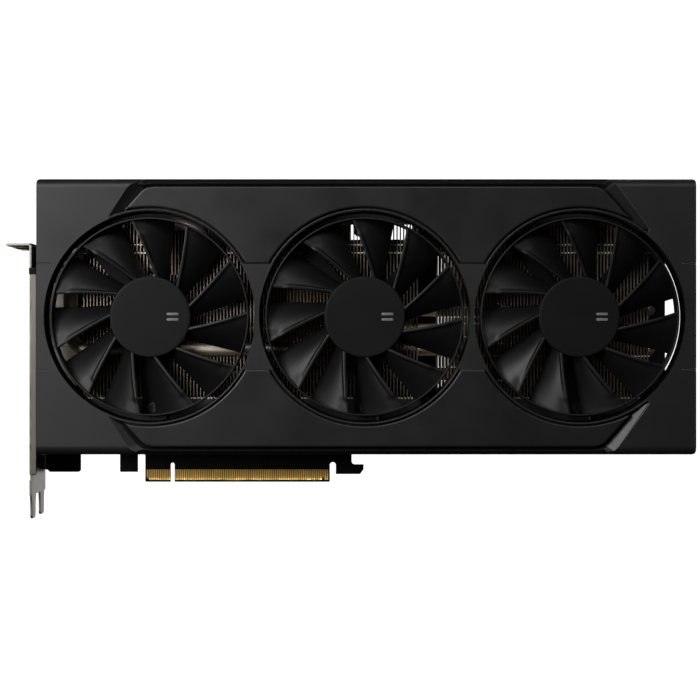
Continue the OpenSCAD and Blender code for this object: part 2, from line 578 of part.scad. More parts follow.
notch_r = 2.21;
notch_z = [2, 2 + slot_pitch];
module io_bracket() color([0.62, 0.6, 0.57]) difference() {
    union() {
        x1 = bracket_x + sheet_t;
        bottom = tab_y - bracket_h;
        box([bracket_x, 5.7, bracket_z[0]], [x1, tab_y, bracket_z[1]]);
        box([bracket_x, -3.8, 1], [x1, 5.8, bracket_z[1]]);
        for (z = [3.8, 3.8 + slot_pitch]) {
            box([bracket_x, bottom + 2, z], [x1, -3, z + 10.19]);
            box([bracket_x, bottom, z + 1.5], [x1, bottom + 2, z + 8.7]);
        }
        // folded flange along the front edge, and the fixing tab at the top
        box([bracket_x, 5.7, bracket_z[1] - sheet_t], [shroud_x0 - 0.2, 95.3, bracket_z[1]]);
        box([bracket_x - 10.7, tab_y - sheet_t, bracket_z[0]], [x1, tab_y, bracket_z[1]]);
        // ears that take the board
        for (p = bracket_spots)
            box([bracket_x, p.y - 4, board_top], [p.x + 4, p.y + 4, board_top + sheet_t]);
    }
    for (s = sockets) box([bracket_x - 1, s[0] - s[1] / 2 - 1.1, board_top],
        [bracket_x + 2, s[0] + s[1] / 2 + 1.1, board_top + s[2] + 2.2]);
    // vent slots beside the second slot
    for (y = [16 : 6 : 94]) box([bracket_x - 1, y, 18], [bracket_x + 2, y + 3.6, 31]);
    // screw notches in the tab
    for (z = notch_z) translate([bracket_x - 5.7, tab_y + 1, z]) rotate([90, 0, 0]) {
        cylinder(r = notch_r, h = 4, $fn = 48);
        translate([-9, -notch_r, 0]) cube([9, notch_r * 2, 4]);
    }
    for (z = [bracket_z[0] - 1, bracket_z[1] - 3])
        box([bracket_x - 12, tab_y - 3, z], [bracket_x - 8.7, tab_y + 1, z + 4]);
    for (p = bracket_spots) translate([p.x, p.y, 0]) disc(1.3, -5, 8, small_fn);
}
module bracket_screws() color([0.2, 0.2, 0.2]) for (p = bracket_spots)
    translate([p.x, p.y, 0]) screw(board_top + sheet_t, 2.4, 1.1, 1.1, 2.2);
module shroud_screws() color([0.1, 0.1, 0.1]) for (p = post_spots)
    translate([p.x, p.y, back_z[0]]) mirror([0, 0, 1]) screw(0, 2.4, 0.7, 1, 8);

stand() front_shroud();
stand() upper_trim_panel();
stand() lower_trim_panel();
stand() upper_accent_strip();
stand() lower_accent_strip();
for (i = [0 : 2]) {
    name = str("fan_", i + 1, "_");
    stand() at_fan(i) impeller();
    stand() at_fan(i) hub_badge();
    stand() at_fan(i) magnet_ring();
    stand() at_fan(i) shaft();
    stand() at_fan(i) stator();
    stand() at_fan(i) bearing();
    stand() at_fan(i) fan_mount();
}
stand() fan_mount_screws();
stand() fan_foot_screws();
stand() fan_cables();
stand() fan_headers();
stand() stiffener_rail();
stand() main_fin_stack();
stand() tail_fin_stack();
stand() base_heat_pipes();
stand() front_heat_pipes();
stand() cold_plate();
stand() memory_pads();
stand() circuit_board();
stand() edge_contacts();
stand() gpu_package();
stand() memory_chips();
stand() power_inductors();
stand() power_stages();
stand() capacitors();
stand() power_connector();
stand() power_pins();
stand() display_sockets();
stand() socket_tongues();
stand() backplate();
stand() backplate_spacers();
stand() backplate_screws();
stand() retention_spring();
stand() retention_screws();
stand() io_bracket();
stand() bracket_screws();
stand() shroud_screws();
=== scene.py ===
"""Looks of the two-slot graphics card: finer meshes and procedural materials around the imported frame."""
import json
import math
from collections import namedtuple

import bmesh
import bpy
from mathutils import Matrix, Vector


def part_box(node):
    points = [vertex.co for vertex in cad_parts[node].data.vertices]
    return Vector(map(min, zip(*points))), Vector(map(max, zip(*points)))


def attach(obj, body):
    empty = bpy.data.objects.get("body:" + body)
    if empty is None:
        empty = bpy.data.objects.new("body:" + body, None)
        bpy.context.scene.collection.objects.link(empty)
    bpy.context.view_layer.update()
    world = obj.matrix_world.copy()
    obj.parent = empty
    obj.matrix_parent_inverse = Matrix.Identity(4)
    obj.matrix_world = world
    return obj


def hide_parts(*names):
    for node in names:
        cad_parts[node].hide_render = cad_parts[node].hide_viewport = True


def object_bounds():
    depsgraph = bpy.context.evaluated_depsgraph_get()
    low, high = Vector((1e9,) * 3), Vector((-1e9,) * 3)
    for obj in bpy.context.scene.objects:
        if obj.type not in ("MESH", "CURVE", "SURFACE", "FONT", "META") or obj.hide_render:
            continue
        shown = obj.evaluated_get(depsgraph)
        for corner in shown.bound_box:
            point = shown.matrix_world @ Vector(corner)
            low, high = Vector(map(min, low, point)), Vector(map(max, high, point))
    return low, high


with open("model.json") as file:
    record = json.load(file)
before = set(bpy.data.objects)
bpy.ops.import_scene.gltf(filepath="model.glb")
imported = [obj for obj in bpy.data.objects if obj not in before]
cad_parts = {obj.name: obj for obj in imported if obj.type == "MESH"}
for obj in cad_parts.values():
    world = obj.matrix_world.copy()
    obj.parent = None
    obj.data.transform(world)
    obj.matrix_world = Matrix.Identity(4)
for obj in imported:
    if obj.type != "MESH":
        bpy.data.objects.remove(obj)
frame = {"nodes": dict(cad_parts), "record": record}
cad_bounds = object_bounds()

MM = 0.001
Box = namedtuple("Box", "x0 x1 up0 up1 out0 out1")


def cad(node):
    """Box of a CAD node in millimetres: along the card, up it, and out of the board towards the fans."""
    lo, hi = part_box(node)
    return Box(*(round(v / MM, 3) for v in (lo.x, hi.x, lo.z, hi.z, -hi.y, -lo.y)))


def at(x, up, out):
    """Point in metres from millimetres along, up and out."""
    return Vector((x, -out, up)) * MM


# ---------------------------------------------------------------- places from the frame, sizes in mm

SHROUD = cad("front_shroud")
PANEL = cad("upper_trim_panel")
BOARD = cad("circuit_board")
BRACKET = cad("io_bracket")
BACKPLATE = cad("backplate")
MAIN_FINS = cad("main_fin_stack")
TAIL_FINS = cad("tail_fin_stack")
FANS = [cad(f"fan_{i}_shaft") for i in (1, 2, 3)]
FAN_X = [(b.x0 + b.x1) / 2 for b in FANS]
MID = (FANS[0].up0 + FANS[0].up1) / 2
IMPELLER = cad("fan_2_impeller")
PLUG = cad("power_connector")
BOARD_TOP = 0.785  # half the board's thickness
OPENING_R = 46.6
RIM_R = OPENING_R + 1.0
NECK = 23.4  # the necks between the fans end this far above and below the middle
TOP = SHROUD.up1
FACE = SHROUD.out1
EDGE_R = 4.0
WALL = 1.6
POCKET = FACE - 3.2  # floor of the pocket under the panels and inlays
COLLAR_BACK = 24.8
RING_R = (IMPELLER.x1 - IMPELLER.x0) / 2
HUB_R = 17.9
HUB_FRONT = 34.0
ARMS = (50, 130)  # directions of each fan mount's upper arms, in degrees
ARM_REACH = 53
SHEET_FACE = -59.6  # outer face of the bracket's sheet
GROOVES = ((SHROUD.x0 - 1, -50), (228.6, SHROUD.x1 + 1))  # grooves in the wings, left and right
WINDOW = (13, 79, 34.5, 93.5)  # the backplate's opening behind the processor (x, x, up, up)

# screw places (x, up)
POSTS = ((-48, 130.1), (42, 130.1), (136, 130.1), (226, 130.1), (226, 21.1))
BOARD_SCREWS = ((-30, 23.5), (42, 23.5), (112, 23.5), (-30, 104), (78, 104), (112, 104))
EAR_SCREWS = ((-48, 21.1), (-48, 104))
COOLER_SCREWS = ((21, 44.5), (71, 44.5), (21, 83.5), (71, 83.5))
TAIL_SCREWS = ((140, 23.5), (208, 23.5))

# ---------------------------------------------------------------- mesh helpers


def new_object(name, mesh):
    obj = bpy.data.objects.new(name, mesh)
    bpy.context.scene.collection.objects.link(obj)
    return obj


def shade(obj, angle):
    """Smooth shading that keeps edges sharper than the angle, with flat faces kept flat."""
    obj.data.shade_smooth()
    obj.data.set_sharp_from_angle(angle=math.radians(angle))
    modifier = obj.modifiers.new("normals", "WEIGHTED_NORMAL")
    modifier.keep_sharp = True


def piece(name, mesh, body, material, nodes=(), angle=35):
    """A finished piece: it rides on a body, stands for CAD nodes and takes a slot's finish."""
    obj = new_object(name, mesh)
    mesh.materials.clear()
    mesh.materials.append(material)
    shade(obj, angle)
    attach(obj, body)
    if nodes:
        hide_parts(*nodes)
    return obj


def mesh_of(verts, faces):
    mesh = bpy.data.meshes.new("mesh")
    mesh.from_pydata([tuple(v) for v in verts], [], faces)
    return clean(mesh)


PRISM_FACES = [(0, 1, 2, 3), (7, 6, 5, 4)] + [(j, (j + 1) % 4, 4 + (j + 1) % 4, 4 + j) for j in range(4)]


def clean(mesh):
    """Merges doubled corners and turns every face outwards."""
    bm = bmesh.new()
    bm.from_mesh(mesh)
    bmesh.ops.remove_doubles(bm, verts=bm.verts, dist=1e-6)
    bmesh.ops.recalc_face_normals(bm, faces=bm.faces)
    bm.to_mesh(mesh)
    bm.free()
    return mesh


def joined(meshes):
    bm = bmesh.new()
    for mesh in meshes:
        bm.from_mesh(mesh)
    mesh = bpy.data.meshes.new("joined")
    bm.to_mesh(mesh)
    bm.free()
    return mesh


VIEWS = {
    "front": Matrix(((1, 0, 0, 0), (0, 0, -1, 0), (0, 1, 0, 0), (0, 0, 0, 1))),
    "end": Matrix(((0, 0, 1, 0), (-1, 0, 0, 0), (0, 1, 0, 0), (0, 0, 0, 1))),
    "top": Matrix(((1, 0, 0, 0), (0, -1, 0, 0), (0, 0, -1, 0), (0, 0, 0, 1))),
}


def plate(loops, low, high, bevel=0.15, rounds=1, view="front"):
    """Flat sheet between two levels with rounded edges. Outlines and holes are closed loops.

    The front view takes (x, up) and levels out of the board, the end view (out, up) and levels along x,
    the top view (x, out) and levels up the card.
    """
    curve = bpy.data.curves.new("outline", "CURVE")
    curve.dimensions = "2D"
    curve.fill_mode = "BOTH"
    curve.extrude = max((high - low) / 2 - bevel, 0.001) * MM
    curve.bevel_depth = bevel * MM
    curve.bevel_resolution = rounds
    curve.offset = -bevel * MM
    for loop in loops:
        spline = curve.splines.new("POLY")
        spline.points.add(len(loop) - 1)
        for point, (a, b) in zip(spline.points, loop):
            point.co = (a * MM, b * MM, 0, 1)
        spline.use_cyclic_u = True
    holder = bpy.data.objects.new("outline", curve)
    mesh = bpy.data.meshes.new_from_object(holder)
    bpy.data.objects.remove(holder)
    bpy.data.curves.remove(curve)
    mid = (low + high) / 2 * MM
    shift = {"front": (0, -mid, 0), "end": (mid, 0, 0), "top": (0, 0, mid)}[view]
    mesh.transform(Matrix.Translation(shift) @ VIEWS[view])
    return clean(mesh)


def circle(cx, cy, r, n=96, start=0, end=360):
    """Points on a circle or arc, in millimetres and degrees; an arc keeps its last point."""
    full = abs(end - start) >= 360
    steps = n if full else max(2, int(n * abs(end - start) / 360))
    count = steps if full else steps + 1
    angles = [math.radians(start + (end - start) * k / steps) for k in range(count)]
    return [(cx + r * math.cos(a), cy + r * math.sin(a)) for a in angles]


def rectangle(x0, x1, y0, y1, r=0.0, n=32):
    if r <= 0:
        return [(x0, y0), (x1, y0), (x1, y1), (x0, y1)]
    return (circle(x1 - r, y0 + r, r, n, -90, 0) + circle(x1 - r, y1 - r, r, n, 0, 90)
            + circle(x0 + r, y1 - r, r, n, 90, 180) + circle(x0 + r, y0 + r, r, n, 180, 270))


def block(x0, x1, up0, up1, out0, out1, bevel=0.1):
    """Small rounded block from its six levels."""
    return plate([rectangle(x0, x1, up0, up1)], out0, out1, bevel)


def lathe(profile, x, up, n=96):
    """Surface of revolution about an axis out of the board; profile is a closed list of (radius, out)."""
    verts, faces = [], []
    count = len(profile)
    for k in range(n):
        a = 2 * math.pi * k / n
        verts += [at(x + r * math.cos(a), up + r * math.sin(a), out) for r, out in profile]
    for k in range(n):
        for j in range(count):
            a, b = k * count + j, k * count + (j + 1) % count
            c, d = ((k + 1) % n) * count + (j + 1) % count, ((k + 1) % n) * count + j
            faces.append((a, b, c, d))
    return mesh_of(verts, faces)


def arc_profile(r_mid, out_mid, r, start, end, steps=5):
    return [(r_mid + r * math.cos(math.radians(start + (end - start) * k / steps)),
             out_mid + r * math.sin(math.radians(start + (end - start) * k / steps)))
            for k in range(steps + 1)]


def tube(points, r, sides):
    """Round tube along a list of points in millimetres (x, up, out)."""
    curve = bpy.data.curves.new("tube", "CURVE")
    curve.dimensions = "3D"
    curve.bevel_depth = r * MM
    curve.bevel_resolution = max(0, sides // 4 - 1)
    curve.use_fill_caps = True
    spline = curve.splines.new("POLY")
    spline.points.add(len(points) - 1)
    for point, p in zip(spline.points, points):
        point.co = (*at(*p), 1)
    holder = bpy.data.objects.new("tube", curve)
    mesh = bpy.data.meshes.new_from_object(holder)
    bpy.data.objects.remove(holder)
    bpy.data.curves.remove(curve)
    return clean(mesh)


def boolean(mesh, tool, operation="DIFFERENCE"):
    """The mesh with the tool's solid taken away, added or kept."""
    a, b = new_object("a", mesh), new_object("b", tool)
    modifier = a.modifiers.new("cut", "BOOLEAN")
    modifier.operation = operation
    modifier.solver = "EXACT"
    modifier.object = b
    bpy.context.view_layer.update()
    result = bpy.data.meshes.new_from_object(a.evaluated_get(bpy.context.evaluated_depsgraph_get()))
    for obj in (a, b):
        bpy.data.objects.remove(obj)
    return result


def cut(mesh, *tools):
    """The mesh with all the tools' solids taken away at once."""
    return boolean(mesh, joined(tools))


def tidy_flat(mesh):
    """Joins flat neighbouring faces, so that bevels run cleanly along the real edges."""
    flat = math.radians(0.5)
    bm = bmesh.new()
    bm.from_mesh(mesh)
    bmesh.ops.remove_doubles(bm, verts=bm.verts, dist=2e-6)
    bmesh.ops.dissolve_limit(bm, angle_limit=flat, verts=bm.verts, edges=bm.edges)
    bm.to_mesh(mesh)
    bm.free()
    return mesh


def bevelled(obj, width, angle):
    """Rounds the edges sharper than the angle; the rounding comes before the normals are weighted."""
    modifier = obj.modifiers.new("edges", "BEVEL")
    modifier.width = width * MM
    modifier.segments = 2
    modifier.limit_method = "ANGLE"
    modifier.angle_limit = math.radians(angle)
    obj.modifiers.move(len(obj.modifiers) - 1, 0)


# ---------------------------------------------------------------- materials


class Nodes:
    """Small helper that adds shader nodes and links them."""

    def __init__(self, name):
        self.material = bpy.data.materials.new(name)
        self.material.use_nodes = True
        self.tree = self.material.node_tree
        self.shader = self.tree.nodes["Principled BSDF"]

    def add(self, kind, **values):
        node = self.tree.nodes.new(kind)
        for key, value in values.items():
            if key in node.inputs:
                node.inputs[key].default_value = value
            else:
                setattr(node, key, value)
        return node

    def link(self, source, target):
        self.tree.links.new(source, target)

    def position(self, scale=(1, 1, 1)):
        """Object coordinates, stretched per axis."""
        coords = self.add("ShaderNodeTexCoord")
        mapping = self.add("ShaderNodeMapping")
        mapping.inputs["Scale"].default_value = scale
        self.link(coords.outputs["Object"], mapping.inputs["Vector"])
        return mapping.outputs["Vector"]

    def noise(self, scale, detail=4.0, stretch=(1, 1, 1)):
        node = self.add("ShaderNodeTexNoise", Scale=scale, Detail=detail, Roughness=0.55)
        self.link(self.position(stretch), node.inputs["Vector"])
        return node.outputs["Fac"]

    def ramp(self, source, low, high, start=0.3, end=0.7):
        node = self.add("ShaderNodeValToRGB")
        node.color_ramp.elements[0].position = start
        node.color_ramp.elements[1].position = end
        node.color_ramp.elements[0].color = (*low, 1)
        node.color_ramp.elements[1].color = (*high, 1)
        self.link(source, node.inputs["Fac"])
        return node.outputs["Color"]

    def map_range(self, source, low, high, start=0.3, end=0.7):
        node = self.add("ShaderNodeMapRange")
        for key, value in (("From Min", start), ("From Max", end), ("To Min", low), ("To Max", high)):
            node.inputs[key].default_value = value
        self.link(source, node.inputs["Value"])
        return node.outputs["Result"]

    def bump(self, height, strength, distance, normal=None):
        node = self.add("ShaderNodeBump", Strength=strength, Distance=distance * MM)
        self.link(height, node.inputs["Height"])
        if normal is not None:
            self.link(normal, node.inputs["Normal"])
        return node.outputs["Normal"]


def scaled(color, k):
    return tuple(min(1.0, c * k) for c in color)


def plastic(name, color, roughness, grain=0.12, grain_size=0.35, spread=0.12, specular=0.5):
    """Moulded plastic: fine spark-eroded grain, slow colour drift and slightly uneven gloss."""
    n = Nodes(name)
    n.link(n.ramp(n.noise(60), scaled(color, 0.9), scaled(color, 1.12)), n.shader.inputs["Base Color"])
    drift = n.noise(35, 3)
    n.link(n.map_range(drift, roughness - spread / 2, roughness + spread / 2), n.shader.inputs["Roughness"])
    fine = n.noise(1000 / grain_size, 2)
    n.link(n.bump(fine, grain, 0.05), n.shader.inputs["Normal"])
    n.shader.inputs["Specular IOR Level"].default_value = specular
    return n.material


def metal(name, color, roughness, stretch=(1, 1, 1), scale=400, bump=0.05):
    """Plated or brushed metal: stretched fine scratches and broad soft stains."""
    n = Nodes(name)
    n.link(n.ramp(n.noise(50, 5), scaled(color, 0.86), scaled(color, 1.06)), n.shader.inputs["Base Color"])
    n.shader.inputs["Metallic"].default_value = 1.0
    lines = n.noise(scale, 4, stretch)
    n.link(n.map_range(lines, roughness - 0.05, roughness + 0.05), n.shader.inputs["Roughness"])
    n.link(n.bump(lines, bump, 0.05), n.shader.inputs["Normal"])
    return n.material


def powder_coat(name, color, roughness):
    """Matte powder coat: tight orange-peel bumps over metal."""
    n = Nodes(name)
    n.link(n.ramp(n.noise(80), scaled(color, 0.9), scaled(color, 1.15)), n.shader.inputs["Base Color"])
    n.link(n.map_range(n.noise(120, 2), roughness - 0.06, roughness + 0.08), n.shader.inputs["Roughness"])
    n.link(n.bump(n.noise(2200, 2), 0.25, 0.06), n.shader.inputs["Normal"])
    return n.material


def solder_mask(name, color):
    """Black solder mask: raised copper tracks and pours under a thin lacquer."""
    n = Nodes(name)
    tracks = n.add("ShaderNodeTexVoronoi", Scale=900.0, feature="DISTANCE_TO_EDGE")
    tracks.distance = "MANHATTAN"
    n.link(n.position(), tracks.inputs["Vector"])
    pours = n.map_range(n.noise(90, 1), 0, 1, 0.48, 0.52)
    n.link(n.ramp(pours, scaled(color, 0.8), scaled(color, 1.3), 0, 1), n.shader.inputs["Base Color"])
    soft = n.map_range(tracks.outputs["Distance"], 0, 1, 0.02, 0.12)
    n.link(n.bump(pours, 0.15, 0.04, n.bump(soft, 0.12, 0.03)), n.shader.inputs["Normal"])
    n.link(n.map_range(n.noise(200, 2), 0.4, 0.5), n.shader.inputs["Roughness"])
    n.shader.inputs["Specular IOR Level"].default_value = 0.15
    return n.material


def gold(name, color):
    """Hard gold over nickel, with wipe marks along the direction of insertion."""
    n = Nodes(name)
    n.link(n.ramp(n.noise(300, 3, (1, 1, 0.2)), scaled(color, 0.8), scaled(color, 1.08)),
           n.shader.inputs["Base Color"])
    n.shader.inputs["Metallic"].default_value = 1.0
    wipe = n.noise(900, 3, (1, 1, 0.05))
    n.link(n.map_range(wipe, 0.3, 0.48), n.shader.inputs["Roughness"])
    n.link(n.bump(wipe, 0.08, 0.02), n.shader.inputs["Normal"])
    return n.material


def copper_windings(name, color):
    """Enamelled wire wound in tight turns."""
    n = Nodes(name)
    wave = n.add("ShaderNodeTexWave", Scale=900.0, Distortion=0.6)
    n.link(n.position(), wave.inputs["Vector"])
    n.link(n.ramp(wave.outputs["Fac"], scaled(color, 0.5), color, 0.1, 0.8), n.shader.inputs["Base Color"])
    n.shader.inputs["Metallic"].default_value = 0.7
    n.shader.inputs["Roughness"].default_value = 0.35
    n.link(n.bump(wave.outputs["Fac"], 0.4, 0.1), n.shader.inputs["Normal"])
    return n.material


def studio_paper():
    """Pale paper that stays evenly bright."""
    n = Nodes("studio_paper")
    for name, value in (("Base Color", (0.8, 0.8, 0.8, 1)), ("Roughness", 0.9), ("Specular IOR Level", 0.0),
                        ("Emission Color", (1, 1, 1, 1)), ("Emission Strength", 1.0)):
        n.shader.inputs[name].default_value = value
    return n.material


SHROUD_BLACK = (0.0126, 0.0126, 0.0129)
TRIM_BLACK = (0.0105, 0.0105, 0.0109)
LOOKS = {}


def look(make, name, *values, **more):
    LOOKS[name] = make(name, *values, **more)


look(plastic, "shroud_plastic", SHROUD_BLACK, 0.47)
# Light grey for the fine edge lines, several times lighter than the shroud black: painted highlights along
# the groove ends and inlay edges.
look(plastic, "edge_plastic", (0.06, 0.06, 0.061), 0.4, grain=0.03)
look(plastic, "trim_plastic", TRIM_BLACK, 0.4, grain=0.08)
look(plastic, "accent_plastic", (0.009, 0.009, 0.0093), 0.36, grain=0.03, spread=0.06)
look(plastic, "fan_plastic", (0.0062, 0.0062, 0.0065), 0.42, grain=0.06, specular=0.34)
look(plastic, "hub_plastic", (0.0075, 0.0075, 0.0078), 0.5, grain=0.06, specular=0.18)
look(plastic, "frame_plastic", (0.003, 0.003, 0.003), 0.5, specular=0.12)
look(plastic, "badge_print", (0.2, 0.2, 0.205), 0.5, grain=0.05)
look(metal, "magnet", (0.16, 0.16, 0.17), 0.55)
look(copper_windings, "winding_copper", (0.55, 0.24, 0.1))
look(metal, "bearing_bronze", (0.6, 0.4, 0.2), 0.45, bump=0.15, scale=1500)
look(metal, "zinc_screw", (0.6, 0.6, 0.6), 0.32)
look(metal, "black_screw", (0.06, 0.06, 0.06), 0.4)
look(plastic, "lead_sleeve", (0.01, 0.01, 0.01), 0.45, grain=0.3, grain_size=0.8)
look(plastic, "header_plastic", (0.6, 0.58, 0.5), 0.45)
look(powder_coat, "black_metal", (0.02, 0.02, 0.021), 0.42)
look(metal, "fin_metal", (0.42, 0.355, 0.28), 0.38, (0.2, 1, 1), 500)
# Near-white metal for the folded fin tabs, far lighter than the fins they are folded from: painted glints
# along the tab rows.
look(metal, "tab_metal", (0.95, 0.88, 0.76), 0.55, (0.2, 1, 1), 500)
look(metal, "pipe_metal", (0.86, 0.78, 0.66), 0.5, (0.1, 1, 1), 300)
look(metal, "copper_plate", (0.72, 0.42, 0.28), 0.35, (0.1, 1, 1), 600)
look(plastic, "thermal_pad", (0.35, 0.4, 0.45), 0.7, grain=0.4, grain_size=0.6)
look(solder_mask, "board_laminate", (0.003, 0.0033, 0.003))
look(gold, "gold_contact", (0.9, 0.58, 0.17))
look(plastic, "chip_substrate", (0.03, 0.1, 0.06), 0.35)
look(plastic, "chip_epoxy", (0.015, 0.015, 0.015), 0.55)
look(plastic, "inductor_ferrite", (0.08, 0.08, 0.085), 0.6, grain=0.4)
look(metal, "capacitor_can", (0.6, 0.6, 0.62), 0.3)
look(plastic, "connector_plastic", (0.012, 0.012, 0.012), 0.45)
look(metal, "pin_metal", (0.65, 0.62, 0.56), 0.3)
look(metal, "socket_shell", (0.36, 0.335, 0.29), 0.4, (1, 0.1, 1))
look(metal, "spring_steel", (0.45, 0.45, 0.46), 0.35, (0.1, 1, 1))
look(metal, "bracket_steel", (0.33, 0.31, 0.28), 0.42, (1, 1, 0.08), 500, 0.08)
# A darker copy of the bracket steel for the folded front flange: painted shade on the flange.
look(metal, "flange_steel", (0.2, 0.188, 0.168), 0.5, (1, 1, 0.08), 500, 0.08)
SLOT_OF = {entry["node"]: entry["material_slot"] for entry in frame["record"]["subparts"]}


def stand_for(name, mesh, nodes, angle=35):
    """A card piece that stands for CAD nodes and takes the slot of the first."""
    slot = SLOT_OF[nodes[0]]
    return piece(name, mesh, "card", LOOKS[slot], nodes, angle)


# ---------------------------------------------------------------- outlines of the front


def meet_circle(p, q, cx, r):
    """Where the line from p towards q first enters the circle about a fan's centre."""
    dx, dy = q[0] - p[0], q[1] - p[1]
    fx, fy = p[0] - cx, p[1] - MID
    a, b, c = dx * dx + dy * dy, 2 * (fx * dx + fy * dy), fx * fx + fy * fy - r * r
    t = (-b - math.sqrt(b * b - 4 * a * c)) / (2 * a)
    return p[0] + t * dx, p[1] + t * dy


def angle_at(p, cx):
    return math.degrees(math.atan2(p[1] - MID, p[0] - cx))


def around_fans(top, left, right, r):
    """Outline over the three fans: corners from left to right, then the arcs and necks back.

    The arcs start and end at the angles of the points right and left, seen from the outer fans.
    """
    side = math.degrees(math.asin(NECK / r))
    loop = list(top)
    loop += circle(FAN_X[2], MID, r, 192, angle_at(right, FAN_X[2]), 180 - side)
    loop += circle(FAN_X[1], MID, r, 192, side, 180 - side)
    loop += circle(FAN_X[0], MID, r, 192, side, angle_at(left, FAN_X[0]))
    return loop


PANEL_TOP = [(-9.7, 131.3), (-7.6, 132.5), (-4.5, 133), (188, 133), (191.2, 132.7), (193.9, 131.6)]
PANEL_ENDS = ((-25, 114.5), (202.5, 122))
TIPS = ([(-24.4, 119.1), (-24.6, 119.8), (-24.3, 120.5)],
        [(213.4, 115), (213.9, 114.2), (213.9, 113.5), (213.3, 113.0)])
FIELD_TOP = [(-16.5, 132.46), (-14.6, 134.1), (-12.3, 135.1), (-8, 136.3), (191.7, 136.3),
             (195.7, 135.46), (198.2, 134.9), (200, 133.48)]


def mirrored(mesh):
    """Copy of a mesh, turned over about the card's long middle line."""
    copy = mesh.copy()
    flip = Matrix.Translation((0, 0, 2 * MID * MM)) @ Matrix.Scale(-1, 4, (0, 0, 1))
    copy.transform(flip)
    copy.flip_normals()
    return copy


# ---------------------------------------------------------------- shroud


def shell_section(back):
    """Closed cross-section (up, out) of the shroud's shell, with its two front edges rounded."""
    r = EDGE_R
    up0, up1 = SHROUD.up0 + r, SHROUD.up1 - r
    upper = [(up1 + r * math.sin(a), FACE - r + r * math.cos(a))
             for a in (math.radians(7.5 * k) for k in range(13))]
    lower = [(up0 - r * math.sin(a), FACE - r + r * math.cos(a))
             for a in (math.radians(90 - 7.5 * k) for k in range(13))]
    return [(SHROUD.up0, back)] + lower + upper + [(SHROUD.up1, back)]


def along_x(section, x0, x1):
    """Solid with a constant cross-section (up, out) along the card."""
    n = len(section)
    verts = [at(x, up, out) for x in (x0, x1) for up, out in section]
    faces = [(k, (k + 1) % n, n + (k + 1) % n, n + k) for k in range(n)]
    faces += [tuple(range(n)), tuple(range(2 * n - 1, n - 1, -1))]
    return mesh_of(verts, faces)


def make_shroud():
    """Hollow moulding with its fan openings, panel pockets, wing grooves, exhaust windows and open ends."""
    x0, x1 = SHROUD.x0, SHROUD.x1
    up0, up1 = SHROUD.up0, SHROUD.up1
    before, beyond = -6, 60  # levels behind and in front of the whole moulding
    skin = FACE - 4.8
    shell = along_x(shell_section(-0.5), x0, x1)
    shell = boolean(shell, plate([rectangle(x0, x1, up0, up1, 1.6, 48)], before, beyond, 0, 0), "INTERSECT")
    hollow = along_x([(up0 + WALL, before), (up0 + WALL, skin), (up1 - WALL, skin), (up1 - WALL, before)],
                     x0 + WALL, x1 - WALL)
    shell = boolean(shell, hollow)
    rim = [(OPENING_R, POCKET - 0.1), (RIM_R + 0.2, POCKET - 0.1)]
    rim += arc_profile(OPENING_R + 0.62, FACE - 0.6, 0.56, 0, 180, 8) + [(OPENING_R, FACE - 0.75)]
    lips = [lathe(rim, x, MID, 192) for x in FAN_X]
    shell = cut(shell, *(plate([circle(x, MID, OPENING_R, 192)], 20, beyond, 0, 0) for x in FAN_X))
    corners = TIPS[0] + FIELD_TOP + TIPS[1]
    field = plate([around_fans(corners, corners[0], corners[-1], OPENING_R + 0.1)], POCKET, beyond, 0, 0)
    shell = cut(shell, field, mirrored(field))
    channel = plate([rectangle(-12, 195.5, TOP - 3.4, TOP - 0.15)], FACE - 3.9, beyond, 0, 0)
    shell = cut(shell, channel, mirrored(channel))
    half = 0.62
    shell = cut(shell, *(plate([rectangle(a, b, up - half, up + half, 0.6, 24)], FACE - 0.35, beyond, 0, 0)
                         for up in (MID - NECK, MID + NECK) for a, b in GROOVES))
    through_bottom, through_top = (up0 - 1, up0 + WALL + 1), (up1 - WALL - 1, up1 + 1)
    vents = [plate([rectangle(x, x + width, *through)], 6, 19, 0, 0)
             for through in (through_bottom, through_top)
             for x, width in ((-40, 34), (-2, 34), (36, 34), (124, 26), (154, 26), (184, 26))]
    middle = (PLUG.x0 + PLUG.x1) / 2
    vents.append(plate([rectangle(middle - 15, middle + 15, *through_top)], -2, 22, 0, 0))
    shell = cut(shell, *vents)
    shell = cut(shell, plate([rectangle(x0 - 1, x0 + WALL + 1, up0 + 8, up1 - 8)], -2, 30, 0, 0),
                plate([rectangle(x1 - WALL - 1, x1 + 1, up0 + 14, up1 - 14)], -2, 27, 0, 0))
    shell = cut(shell, plate([rectangle(x0 - 2, x0 + WALL + 0.1, -1, 120)], -5, 2.5, 0, 0))
    shell = cut(shell, plate([rectangle(x0 - 2, x1 + 2, *through_bottom)], -5, 2, 0, 0))
    shroud = stand_for("shroud", joined([tidy_flat(shell), *lips]), ["front_shroud"], angle=30)
    bevelled(shroud, 0.3, 35)


def make_collars():
    """Matt wall behind each fan opening, with a small inward lip at its rear edge. It belongs to the shroud
    moulding but takes the darkest black: painted shade inside the openings.
    """
    front = POCKET - 0.15
    lip = OPENING_R - 0.35
    wall = [(lip, COLLAR_BACK), (RIM_R + 0.2, COLLAR_BACK), (RIM_R + 0.2, front), (OPENING_R, front),
            (OPENING_R, COLLAR_BACK + 1.6), (lip, COLLAR_BACK + 0.8)]
    # The shroud's own collar wall in the darkest, least glossy black: painted shade inside the fan openings.
    piece("collars", joined([lathe(wall, x, MID, 192) for x in FAN_X]), "card",
          LOOKS["frame_plastic"])


